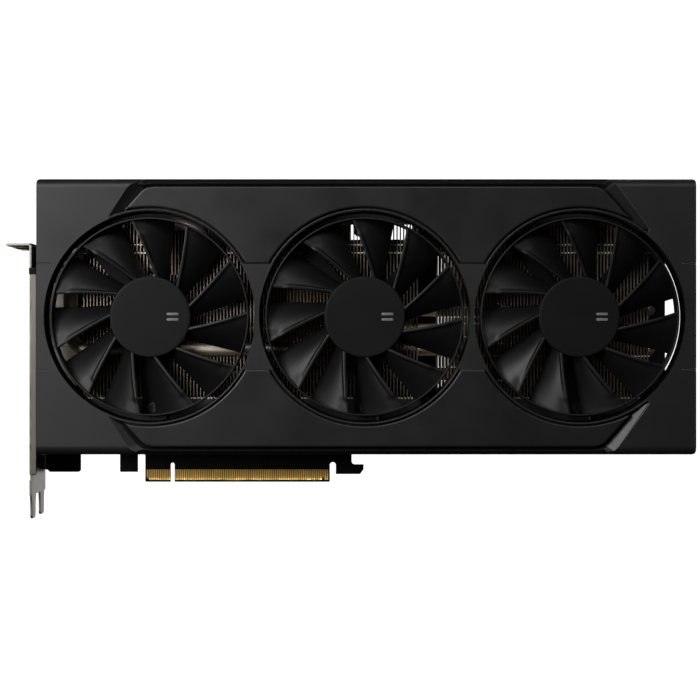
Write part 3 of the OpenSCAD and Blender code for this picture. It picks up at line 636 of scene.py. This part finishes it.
def make_posts():
    """Screw posts inside the shroud, hollow at their rear."""
    meshes = []
    bore, front = 1.1, 33.9
    arm_post = [(bore, 24.2), (3.1, 24.2), (3.2, 24.4), (3.2, front), (bore, front)]
    long_post = [(bore, -2.1), (2.7, -2.1), (2.8, -2), (2.8, front), (bore, front)]
    for x in FAN_X:
        for a in map(math.radians, ARMS):
            meshes.append(lathe(arm_post, x + ARM_REACH * math.cos(a), MID + ARM_REACH * math.sin(a), 32))
    for x, up in POSTS:
        meshes.append(lathe(long_post, x, up, 32))
    piece("shroud_posts", joined(meshes), "card", LOOKS["shroud_plastic"])


def make_trim():
    """Upper and lower panel, with a flat roll along the edges of the front."""
    r = RIM_R + 0.75
    roll = 0.9
    left = meet_circle(PANEL_TOP[0], PANEL_ENDS[0], FAN_X[0], r)
    right = meet_circle(PANEL_TOP[-1], PANEL_ENDS[1], FAN_X[2], r)
    panel = plate([around_fans(PANEL_TOP, left, right, r)], POCKET, PANEL.out1, roll, 6)
    for vert in panel.vertices:
        depth = PANEL.out1 * MM + vert.co.y
        if depth < roll * MM:
            vert.co.y = -PANEL.out1 * MM + 0.45 * depth
    stand_for("upper_panel", panel, ["upper_trim_panel"], angle=50)
    stand_for("lower_panel", mirrored(panel), ["lower_trim_panel"], angle=50)


def make_accent():
    """Glossy inlay round the panel: its sides fall towards the panel, its long edge falls outwards."""
    left, right = TIPS[0][1], TIPS[1][2]
    inner_left = meet_circle((-9.9, 131.6), (-25.3, 114.7), FAN_X[0], RIM_R)
    inner_right = meet_circle((194.1, 132.0), (202.8, 122.1), FAN_X[2], RIM_R)
    high, low, rim, crest = FACE - 0.2, FACE - 2.8, FACE - 3.7, FACE - 1.2
    edge = TOP - 0.2
    buried = POCKET - 0.8
    ridge_at = 0.42  # place of the ridge between the inner and the outer point
    # Each station is outer point and level, ridge level, inner point. On the slanted ends the ridge fades.
    stations = [
        (left, high, None, inner_left),
        ((-16.5, 132.46), high, None, (-9.9, 131.6)),
        ((-14.6, 134.1), high - 0.2, None, (-8.4, 132.6)),
        ((-12.3, 135.1), high - 0.9, crest + 0.1, (-6.0, 133.2)),
        ((-8, edge), rim, crest, (-4.0, 133.35)),
        ((187.6, edge), rim, crest, (187.6, 133.35)),
        ((191.7, edge), rim, crest, (190.4, 133.2)),
        ((195.7, 135.46), high - 1.0, crest + 0.1, (192.6, 132.8)),
        ((198.2, 134.9), high - 0.5, None, (194.1, 132.0)),
        ((200, 133.48), high, None, (195.2, 130.8)),
        (right, high, None, inner_right),
    ]
    verts, faces = [], []
    for (ox, ou), level, ridge, (ix, iu) in stations:
        mx, mu = ix + (ox - ix) * ridge_at, iu + (ou - iu) * ridge_at
        verts += [at(ix, iu, buried), at(ix, iu, low), at(mx, mu, ridge or low + (level - low) * ridge_at),
                  at(ox, ou, level), at(ox, ou, min(buried, level - 0.3))]
    n = 5
    for k in range(len(stations) - 1):
        for j in range(n):
            a, b = k * n + j, k * n + (j + 1) % n
            faces.append((a, b, b + n, a + n))
    last = (len(stations) - 1) * n
    faces += [tuple(range(n)), tuple(last + j for j in reversed(range(n)))]
    accent = mesh_of(verts, faces)
    for name, mesh in (("upper_accent", accent), ("lower_accent", mirrored(accent))):
        bevelled(stand_for(name, mesh, [f"{name}_strip"], angle=25), 0.2, 20)


def make_edge_lines():
    """Fine raised lines, much lighter than the black around them as painted highlights on the edges: round
    the ends of the wing grooves, and along the outer edges of the inlays.
    """
    meshes = []
    level, r, sides = FACE - 0.2, 0.24, 8
    for up in (MID - NECK, MID + NECK):
        for (a, b), end, turn in zip(GROOVES, (SHROUD.x0 + 0.5, SHROUD.x1 - 0.5), (1, -1)):
            groove = rectangle(a, b, up - 0.5, up + 0.5, 0.49, 24)
            points = [(x, u, level) for x, u in groove if SHROUD.x0 + 0.3 < x < SHROUD.x1 - 0.3]
            if turn < 0:
                half = len(points) // 2
                points = points[half:] + points[:half]
            line = [(end, up - 0.5 * turn, level), *points, (end, up + 0.5 * turn, level)]
            meshes.append(tube(line, r, sides))
    left = TIPS[0] + FIELD_TOP[:3]
    right = FIELD_TOP[-2:] + TIPS[1]
    lines = [tube([(x, u, FACE - 0.14) for x, u in line], 0.2, sides) for line in (left, right)]
    meshes += lines + [mirrored(line) for line in lines]
    piece("edge_lines", joined(meshes), "card", LOOKS["edge_plastic"])


# ---------------------------------------------------------------- fans

BLADES = 11
SWEEP = 19.5  # how far the leading edge turns from hub to ring, in degrees
BLADE_T = 1.1
LIP = 1.5  # width of the raised lip along the leading edge
PHASE = (49.0, 45.2, 49.0)  # direction of each fan's first blade, in degrees
HUB_BACK, HUB_INSIDE = 25.2, 32.6


def leading_angle(r, r0, r1):
    """Angle of the leading edge at a radius: nearly a straight line from hub to ring, bowed a little."""
    end = Vector((r1 * math.cos(math.radians(SWEEP)), r1 * math.sin(math.radians(SWEEP))))
    way = end - Vector((r0, 0))
    a, b, c = way.length_squared, 2 * r0 * way.x, r0 * r0 - r * r
    t = (-b + math.sqrt(max(b * b - 4 * a * c, 0))) / (2 * a)
    straight = math.degrees(math.atan2(t * way.y, r0 + t * way.x))
    return 0.8 * straight + 0.2 * SWEEP * (r - r0) / (r1 - r0)


def blade_level(u, s):
    """Front level of a blade: u runs from hub to ring, s from leading to trailing edge."""
    lead = 33.4 + 2.2 * math.sin(math.pi / 2 * u)
    trail = 26.4
    fall = 0.35 * s + 0.65 * s * s
    return lead + (trail - lead) * fall


def blade(x, turn):
    """Swept blade with a crowned raised lip along its leading edge, lower over the outer fifth."""
    rows, cols = 28, 18
    r0, r1 = HUB_R - 0.7, RING_R - 0.5
    crown = [(0.0, -0.4), (0.12, -0.1), (0.4, 0.0), (0.7, -0.02), (0.95, -0.16), (1.0, -0.62)]
    verts = []
    for side in (0, 1):
        for i in range(rows + 1):
            u = i / rows
            r = r0 + (r1 - r0) * u
            chord = 19 + 6 * u
            lip = math.degrees(LIP / r)
            step = 0.5 * min(1, max(0, (u - 0.76) / 0.04))
            lead = leading_angle(r, r0, r1)
            stations = [(c * lip, blade_level(u, 0) + rise - step) for c, rise in crown]
            for j in range(1, cols + 1):
                a = lip + (chord - lip) * j / cols
                s = a / chord
                level = blade_level(u, s) - 0.62 * (1 - s) - step * max(0, 1 - s * 3)
                stations.append((a, level))
            for back, level in stations:
                if side:
                    s = back / chord
                    level -= BLADE_T * (0.55 + 0.45 * math.sin(math.pi * min(1, s * 1.3 + 0.15)))
                a = math.radians(turn + lead - back)
                verts.append(at(x + r * math.cos(a), MID + r * math.sin(a), level))
    n = len(crown) + cols
    m = (rows + 1) * n
    faces = []
    for side in (0, 1):
        for i in range(rows):
            for j in range(n - 1):
                p = side * m + i * n + j
                faces.append((p, p + 1, p + n + 1, p + n))
    for i in range(rows):
        for j in (0, n - 1):
            p = i * n + j
            faces.append((p, p + n, p + n + m, p + m))
    for j in range(n - 1):
        for i in (0, rows):
            p = i * n + j
            faces.append((p, p + 1, p + 1 + m, p + m))
    return mesh_of(verts, faces)


def make_fan(index):
    """Impeller and hub of one fan, with the two-bar mark printed on the hub."""
    x, body = FAN_X[index], f"fan_{index + 1}_rotor"
    prefix = f"fan_{index + 1}_"
    edge = 0.5
    wall = HUB_R - 1.4
    hub = lathe([(0.0, HUB_FRONT), (HUB_R - 1.1, HUB_FRONT), (HUB_R - 0.95, HUB_FRONT - 0.05)]
                + arc_profile(HUB_R - edge, HUB_FRONT - 0.06 - edge, edge, 90, 0)
                + [(HUB_R, HUB_BACK), (wall, HUB_BACK), (wall, HUB_INSIDE), (3.4, HUB_INSIDE), (3.4, 30.6),
                   (1.5, 30.6), (1.5, HUB_INSIDE), (0.0, HUB_INSIDE)], x, MID, 128)
    back, front = IMPELLER.out1 - 8.0, IMPELLER.out1
    ring = lathe(arc_profile(RING_R - 0.3, front - 0.3, 0.3, 0, 90, 3)
                 + arc_profile(RING_R - 0.65, front - 0.25, 0.25, 90, 180, 3)
                 + [(RING_R - 0.9, back), (RING_R, back)], x, MID, 192)
    blades = [blade(x, PHASE[index] + k * 360 / BLADES) for k in range(BLADES)]
    piece(f"{prefix}hub", hub, body, LOOKS["hub_plastic"], (), 38)
    piece(f"{prefix}rotor_moulding", joined([ring, *blades]), body,
          LOOKS["fan_plastic"], [f"{prefix}impeller"], 38)
    marks = [plate([rectangle(x + 7.4, x + 12.6, MID + y - 0.55, MID + y + 0.55, 0.5)],
                   HUB_FRONT, HUB_FRONT + 0.07, 0.02) for y in (-1.2, 1.2)]
    piece(f"{prefix}mark", joined(marks), body, LOOKS["badge_print"], [f"{prefix}hub_badge"])


# ---------------------------------------------------------------- heatsink

FIN_PITCH = 1.5
FIN_T, TAIL_FIN_T = 0.42, 0.55
PIPES_UP = (50, 61, 70, 79)  # heights of the base pipes
PIPE_ROOM = 3.1  # half the width of the way through the fins for a pipe
RUN_UP = 61
FRONT_PIPE = 18.0
ARCH_X = (-6, 16)
STEP_OUT = 13.5


def over_arch(x):
    return ARCH_X[0] - PIPE_ROOM < x < ARCH_X[1] + PIPE_ROOM


def fin_outline(x, plug):
    """Closed outline (out, up) of the fin at x, stepped back over the pipes and the power connector."""
    up0, up1 = MAIN_FINS.up0, MAIN_FINS.up1
    front, back = MAIN_FINS.out1, MAIN_FINS.out0
    run = x < 60
    r = PIPE_ROOM
    loop = [(back, up0 + 1)]
    for up in PIPES_UP:
        loop += [(back, up - r), (back + 2 * r, up - r), (back + 2 * r, up + r), (back, up + r)]
    if plug[0] - 1.4 < x < plug[1] + 1.4:
        loop += [(back, 84), (STEP_OUT, 84), (STEP_OUT, up1)]
    else:
        loop += [(back, up1 - 1), (STEP_OUT, up1 - 1), (STEP_OUT, up1)]
    if over_arch(x):
        loop += [(FRONT_PIPE - r, up1), (FRONT_PIPE - r, 95), (front, 95)]
    else:
        loop += [(front, up1)]
    if run:
        loop += [(front, RUN_UP + r), (FRONT_PIPE - r, RUN_UP + r), (FRONT_PIPE - r, RUN_UP - r),
                 (front, RUN_UP - r)]
    loop += [(front, up0), (STEP_OUT, up0), (STEP_OUT, up0 + 1)]
    return loop


def fins(x0, x1, plug, rows, thick):
    """Thin fins, and apart from them the small folded tabs that join them along rows at the front."""
    verts, faces, tab_verts, tab_faces = [], [], [], []
    front = MAIN_FINS.out1
    tab_back, tab_front = front - 1.2, front - 0.02
    count = int((x1 - x0) / FIN_PITCH) + 1
    for k in range(count):
        x = x0 + k * FIN_PITCH
        if x + thick > x1:
            break
        loop = fin_outline(x, plug)
        base, n = len(verts), len(loop)
        verts += [at(px, up, out) for px in (x, x + thick) for out, up in loop]
        faces += [tuple(range(base, base + n)), tuple(range(base + 2 * n - 1, base + n - 1, -1))]
        faces += [(base + j, base + (j + 1) % n, base + n + (j + 1) % n, base + n + j) for j in range(n)]
        for up0 in rows:
            if over_arch(x) and up0 > 90:
                continue
            up1 = up0 + 0.6
            base = len(tab_verts)
            section = (up0, tab_back), (up1, tab_back), (up1, tab_front), (up0, tab_front)
            tab_verts += [at(px, up, out) for px in (x + thick, x + FIN_PITCH * 0.8) for up, out in section]
            tab_faces += [tuple(base + j for j in face) for face in PRISM_FACES]
    return mesh_of(verts, faces), mesh_of(tab_verts, tab_faces)


def make_heatsink():
    """Both fin stacks with their tabs, the straight pipes in the base, and the run and arch at the front."""
    low, high = MAIN_FINS.up0, (104.3, 107.9)
    main, main_tabs = fins(MAIN_FINS.x0, MAIN_FINS.x1, (PLUG.x0, PLUG.x1), (low, *high), FIN_T)
    tail, tail_tabs = fins(TAIL_FINS.x0, TAIL_FINS.x1, (0, 0), (low, 57.8, 79.8, *high), TAIL_FIN_T)
    stand_for("main_fins", main, ["main_fin_stack"])
    stand_for("tail_fins", tail, ["tail_fin_stack"])
    # The tabs take the near-white tab metal: painted glints along the rows at the front of the fins.
    piece("fin_tabs", joined([main_tabs, tail_tabs]), "card", LOOKS["tab_metal"])
    pipe = cad("base_heat_pipes")
    out = (pipe.out0 + pipe.out1) / 2
    r = (pipe.out1 - pipe.out0) / 2
    meshes = [pipe_with_ends([(pipe.x0 + r, up, out), (pipe.x1 - r, up, out)], r) for up in PIPES_UP]
    stand_for("base_pipes", joined(meshes), ["base_heat_pipes"])
    front = cad("front_heat_pipes")
    bend = 9.0
    left = front.x0 + r
    route = [(left, 86, FRONT_PIPE), (left, RUN_UP + bend, FRONT_PIPE)]
    route += [(x, up, FRONT_PIPE) for x, up in circle(left + bend, RUN_UP + bend, bend, 96, 180, 270)[1:]]
    route += [(front.x1 - r, RUN_UP, FRONT_PIPE)]
    arch_mid, arch_r = sum(ARCH_X) / 2, (ARCH_X[1] - ARCH_X[0]) / 2
    arch = [(ARCH_X[1], 98, FRONT_PIPE)]
    arch += [(x, up, FRONT_PIPE) for x, up in circle(arch_mid, 107, arch_r, 96, 0, 180)]
    arch += [(ARCH_X[0], 98, FRONT_PIPE)]
    stand_for("front_pipes", joined([pipe_with_ends(route, r), pipe_with_ends(arch, r)]),
              ["front_heat_pipes"])


def pipe_with_ends(points, r):
    """Heat pipe whose ends neck down to a sealed nib."""
    meshes = [tube(points, r, 24)]
    for tip, near in ((points[0], points[1]), (points[-1], points[-2])):
        way = (Vector(tip) - Vector(near)).normalized()
        rings = [(0.0, r), (0.9, r * 0.86), (1.8, r * 0.6), (2.5, r * 0.34), (2.9, r * 0.16)]
        verts, faces = [], []
        side = way.cross(Vector((0, 0, 1))).normalized()
        other = way.cross(side)
        count = 24
        for d, rr in rings:
            for k in range(count):
                a = 2 * math.pi * k / count
                p = Vector(tip) + way * d + (side * math.cos(a) + other * math.sin(a)) * rr
                verts.append(at(*p))
        for i in range(len(rings) - 1):
            for k in range(count):
                a, b = i * count + k, i * count + (k + 1) % count
                faces.append((a, b, b + count, a + count))
        faces.append(tuple((len(rings) - 1) * count + k for k in range(count)))
        meshes.append(mesh_of(verts, faces))
    return joined(meshes)


# ---------------------------------------------------------------- board and connector


BEVEL_UP = 1.9  # top of the bevel along the edge connector


def board_outline():
    """Outline of the board with its foot, edge connector, key notch and retention hook."""
    x0, x1, top = BOARD.x0, BOARD.x1, BOARD.up1
    base, foot_end = 13.4, -42.46
    outline = [(x0, top), (x0, 5.8)] + circle(x0 + 1.2, 5.8, 1.2, 32, 180, 270)
    outline += circle(foot_end - 1.2, 5.8, 1.2, 32, -90, 0) + [(foot_end, base)]
    outline += [(-24.27, base), (-24.27, 4.9), (-23.97, 4.6), (-16.1, 4.6)]
    outline += circle(-15.5, 12.1, 0.6, 32, 180, 90) + circle(-13.2, 12.1, 0.6, 32, 90, 0)
    outline += [(-12.6, 0.4), (-12.2, 0), (-0.95, 0)] + circle(0, 7.89, 0.95, 48, 180, 0)
    outline += [(0.95, 0), (72.2, 0), (72.6, 0.4)] + circle(74, 7.7, 1.4, 48, 180, 0)
    outline += [(75.4, 3.6), (86.6, 3.6), (88.2, 5.8), (88.2, 8.06), (84.2, 8.06)]
    outline += circle(84.2, 9.56, 1.5, 32, 270, 180) + [(82.7, base), (x1, base), (x1, top)]
    return outline


def make_board():
    """Board with its screw holes, and both faces of the edge connector bevelled."""
    holes = [circle(x, up, 1.6, 24) for x, up in (*EAR_SCREWS, *BOARD_SCREWS, *COOLER_SCREWS)]
    mesh = plate([board_outline(), *holes], -BOARD_TOP, BOARD_TOP, 0.08, 1)
    for sign in (-1, 1):
        out0, out1 = sign * (BOARD_TOP - 0.42), sign * (BOARD_TOP + 0.3)
        verts = [at(x, up, out) for x in (-13.5, 73) for up, out in
                 ((-0.2, out0), (BEVEL_UP, sign * BOARD_TOP * 1.0001), (BEVEL_UP, out1), (-0.2, out1))]
        mesh = boolean(mesh, mesh_of(verts, PRISM_FACES))
    stand_for("board", clean(mesh), ["circuit_board"], angle=30)


def make_contacts():
    """Gold fingers on both faces, running down over the bevel; a few are short, as for hot plugging."""
    verts, faces = [], []
    face, half, thick = BOARD_TOP + 0.03, 0.36, 0.12
    for start, count in ((-11.5, 11), (1.5, 71)):
        for k in range(count):
            x = start + k
            levels = [(5.75, face), (BEVEL_UP, face)]
            short = k == count - 3 if start > 0 else k == 0
            if not short:
                levels.append((0.35, face - 0.36))
            for sign in (-1, 1):
                base = len(verts)
                for up, out in levels:
                    verts += [at(x - half, up, sign * out), at(x + half, up, sign * out)]
                for up, out in reversed(levels):
                    verts += [at(x - half, up, sign * (out - thick)), at(x + half, up, sign * (out - thick))]
                n = len(levels) * 2
                for j in range(n):
                    a, b = base + 2 * j, base + 2 * ((j + 1) % n)
                    faces.append((a, a + 1, b + 1, b))
                for edge in (0, 1):
                    faces.append(tuple(base + 2 * j + edge for j in range(n)))
    stand_for("gold_fingers", mesh_of(verts, faces), ["edge_contacts"], angle=20)


def make_small_parts():
    """Small solder-tipped chips on the board's back: a row over the contacts, more in the window."""
    bodies, tips = [], []
    low, high = -BOARD_TOP - 0.5, -BOARD_TOP
    spots = [(3 + 2.0 * k, 8.6) for k in range(34)]
    spots += [(28 + 2.4 * (k % 14), 28.5 + 3.2 * (k // 14)) for k in range(42)]
    spots += [(92 + 3.1 * (k % 8), 40 + 4.4 * (k // 8)) for k in range(64)]
    for x, up in spots:
        in_window = WINDOW[0] < x < WINDOW[1] and WINDOW[2] + 1 < up < WINDOW[3]
        if up > 14 and not in_window:
            continue
        bodies.append(block(x - 0.3, x + 0.3, up - 0.5, up + 0.5, low, high, 0.04))
        for side in (-1, 1):
            u0, u1 = sorted((up + side * 0.48, up + side * 0.8))
            tips.append(block(x - 0.32, x + 0.32, u0, u1, low, high, 0.05))
    piece("chip_bodies", joined(bodies), "card", LOOKS["chip_epoxy"])
    piece("chip_ends", joined(tips), "card", LOOKS["pin_metal"])


# ---------------------------------------------------------------- bracket

SHEET = 1.0
FLANGE_LOW, FLANGE_HIGH = 5.7, 95.3


def make_bracket():
    """Slot bracket: slotted sheet with two tail tongues, folded front flange, fixing tab and screw ears."""
    face0, face1 = SHEET_FACE, SHEET_FACE + SHEET
    bottom, top = BRACKET.up0, BRACKET.up1
    out0, out1 = BRACKET.out0, BRACKET.out1
    far, near, width = 3.8, 24.12, 10.19

    def tongue(start):
        end = start + width
        return ([(start, -3.4), (start, -4.4), (start + 0.9, -7.6), (start + 0.9, bottom + 1.8)]
                + circle(start + 2.7, bottom + 1.8, 1.8, 32, 180, 270)
                + circle(end - 2.7, bottom + 1.8, 1.8, 32, -90, 0)
                + [(end - 0.9, -7.6), (end, -4.4), (end, -3.4)])

    low, high, relief = FLANGE_LOW, FLANGE_HIGH, out1 - 1.6
    outline = [(out0, low), (1.0, low), (1.0, -3.4)] + tongue(far) + tongue(near)
    outline += [(out1, -3.4), (out1, 3.5), (relief, 3.5), (relief, low), (out1, low), (out1, high),
                (relief, high), (relief, 97.5), (out1, 97.5), (out1, top), (out0, top)]
    holes = []
    for up, w, h in ((35.2, 14.2, 4.8), (53.5, 16.2, 5.0), (71.5, 16.2, 5.0), (89.5, 16.2, 5.0)):
        mouth = BOARD_TOP + 0.6, BOARD_TOP + h + 1.6, up - w / 2 - 0.5, up + w / 2 + 0.5
        holes.append(rectangle(*mouth, 0.8))
    for k in range(14):
        holes.append(rectangle(18, 31, 16 + 6 * k, 19.6 + 6 * k, 1.7))
    sheet = plate([outline, *holes], face0, face1, 0.12, 1, "end")
    flange = plate([rectangle(face0 + 0.1, SHROUD.x0 - 0.15, low, high, 0.9)], out1 - SHEET, out1, 0.2, 2)
    tab = make_tab(face1, top, out0, out1)
    ears = [plate([rectangle(face0 + 0.2, -44, up - 4, up + 4, 1.2), circle(x, up, 1.3, 24)],
                  BOARD_TOP, BOARD_TOP + SHEET, 0.1) for x, up in EAR_SCREWS]
    stand_for("bracket", joined([sheet, tab, *ears]), ["io_bracket"], angle=30)
    # The flange, folded from the bracket's own sheet, takes the darker copy of the bracket steel: painted
    # shade.
    piece("bracket_flange", flange, "card", LOOKS["flange_steel"], (), 30)
    corner = block(face1 + 0.1, BOARD.x0 + 0.4, 5.6, 12.6, -BOARD_TOP + 0.05, BOARD_TOP - 0.05)
    gasket = block(face1 + 0.1, SHROUD.x0 - 0.1, 93.5, 107, 20, 26, 0.4)
    hook = block(face0 - 0.1, SHROUD.x0 - 0.1, 94.4, 97.2, out1 + 0.05, out1 + 0.75, 0.3)
    piece("bracket_corner", corner, "card", LOOKS["board_laminate"])
    piece("shroud_hook", joined([gasket, hook]), "card", LOOKS["frame_plastic"])


def make_tab(face1, top, out0, out1):
    """Fixing tab: a folded lip with a screw notch for each slot, over the bracket's top edge."""
    left = BRACKET.x0
    notch = 2.21
    loop = [(left + 1.5, out0), (face1 - 0.02, out0), (face1 - 0.02, out1), (left + 1.5, out1)]
    loop += [(left, out1 - 1.5)]
    seat = left + 5.0
    for centre in (2 + 20.32, 2.0):
        loop += [(left, centre + notch), (seat, centre + notch)]
        loop += circle(seat, centre, notch, 48, 90, -90)[1:]
        loop += [(left, centre - notch)]
    loop += [(left, out0 + 1.5)]
    return plate([loop], top - SHEET, top, 0.12, 1, "top")


# ---------------------------------------------------------------- backplate


def make_backplate():
    """Backplate with the cooler's window, a slot and window behind fan 2, tail vents and screw holes."""
    b = BACKPLATE
    outline = rectangle(b.x0, b.x1, b.up0, b.up1, 3)
    tie_slot = [(82, 112), (89, 112), (89, 113.3), (85, 113.6), (83.6, 115), (83.4, 119), (82, 119)]
    plug_window = rectangle(100.5, 110.7, 112, 119, 0.8)
    window = rectangle(*WINDOW, 4)
    vents = [rectangle(122.2, 142, up0, up1, 2) for up0, up1 in ((43, 64), (67, 86), (89, 105))]
    vents += [rectangle(150 + 6.5 * k, 153.5 + 6.5 * k, 40, 110, 1.7) for k in range(11)]
    screws = [circle(x, up, 1.3, 20) for x, up in (*BOARD_SCREWS, *TAIL_SCREWS, *POSTS)]
    mesh = plate([outline, window, tie_slot, plug_window, *vents, *screws], b.out0, b.out1, 0.25, 2)
    stand_for("backplate_sheet", mesh, ["backplate"], angle=40)


# ---------------------------------------------------------------- everything else keeps its CAD shape


def finish_cad_nodes():
    for name, obj in frame["nodes"].items():
        if not obj.hide_render:
            obj.data.materials.clear()
            obj.data.materials.append(LOOKS[SLOT_OF[name]])


# ---------------------------------------------------------------- studio


REAR_FITTINGS = ("retention_spring", "retention_screws", "backplate_screws")


def make_studio():
    """Pale curved sweep under and behind the card, which casts no light on it, and the lamps."""
    reach = 6.0
    low = cad_bounds[0][2] - 0.0005
    paper = studio_paper()
    steps = 24
    radius = 0.5
    wall_y = 1.2
    profile = [(-reach, low), (wall_y - radius, low)]
    profile += [(wall_y - radius + radius * math.sin(a), low + radius - radius * math.cos(a))
                for a in (math.pi / 2 * k / steps for k in range(1, steps + 1))]
    profile += [(wall_y, reach)]
    verts = [(x, y, z) for x in (-reach, reach) for y, z in profile]
    n = len(profile)
    mesh = mesh_of(verts, [(k, k + 1, n + k + 1, n + k) for k in range(n - 1)])
    sweep = new_object("studio_sweep", mesh)
    mesh.materials.append(paper)
    mesh.shade_smooth()
    sweep.visible_diffuse = False
    sweep.visible_glossy = False
    light("key", (-0.42, -0.72, 0.33), (0.35, 0.6), 5.0)
    light("overhead", (0.06, -0.66, 0.6), (0.9, 0.16), 1.7)
    shine_on(light("low", (0.06, -0.8, -0.34), (0.7, 0.14), 4.0), "gold_fingers")
    shine_on(light("rim", (0.12, 0.75, 0.0), (0.35, 0.5), 0.6), "bracket")
    shine_on(light("side", (-0.85, 0.14, 0.2), (0.3, 0.7), 2.5), "bracket", "shroud")
    shine_on(light("back", (0.5, 0.66, 0.42), (0.6, 0.5), 5.0), "backplate_sheet", "shroud", "board",
             "gold_fingers", *REAR_FITTINGS)
    world = bpy.data.worlds.new("studio")
    bpy.context.scene.world = world
    world.use_nodes = True
    background = world.node_tree.nodes["Background"]
    background.inputs["Color"].default_value = (1, 1, 1, 1)
    background.inputs["Strength"].default_value = 0.015
    bpy.context.scene.view_settings.view_transform = "Standard"
    bpy.context.scene.view_settings.look = "None"


def shine_on(lamp, *names):
    """Keeps a light to the pieces and carried-over nodes that it is meant for."""
    lit = bpy.data.collections.new(f"lit_by_{lamp.name}")
    for name in names:
        lit.objects.link(frame["nodes"][name] if name in frame["nodes"] else bpy.data.objects[name])
    lamp.light_linking.receiver_collection = lit


def light(name, place, size, power):
    """Soft box, wide by tall, aimed at the middle of the card and unseen by the camera."""
    lamp = bpy.data.lights.new(name, "AREA")
    lamp.shape = "RECTANGLE"
    lamp.size, lamp.size_y = size
    lamp.energy = power
    obj = new_object(name, lamp)
    obj.visible_camera = False
    obj.location = place
    aim = Vector((0.09, 0, 0.07)) - Vector(place)
    obj.rotation_euler = aim.to_track_quat("-Z", "Y").to_euler()
    return obj


def make_camera():
    data = bpy.data.cameras.new("camera")
    data.sensor_width = 36
    data.lens = 86.87
    data.clip_start = 0.01
    camera = new_object("camera", data)
    camera.location = at(81.94, 60.89, 780.8)
    camera.rotation_euler = (math.pi / 2, 0, 0)
    bpy.context.scene.camera = camera


make_camera()
make_shroud()
make_collars()
make_posts()
make_trim()
make_accent()
make_edge_lines()
for fan in range(3):
    make_fan(fan)
make_heatsink()
make_board()
make_contacts()
make_small_parts()
make_bracket()
make_backplate()
finish_cad_nodes()
make_studio()
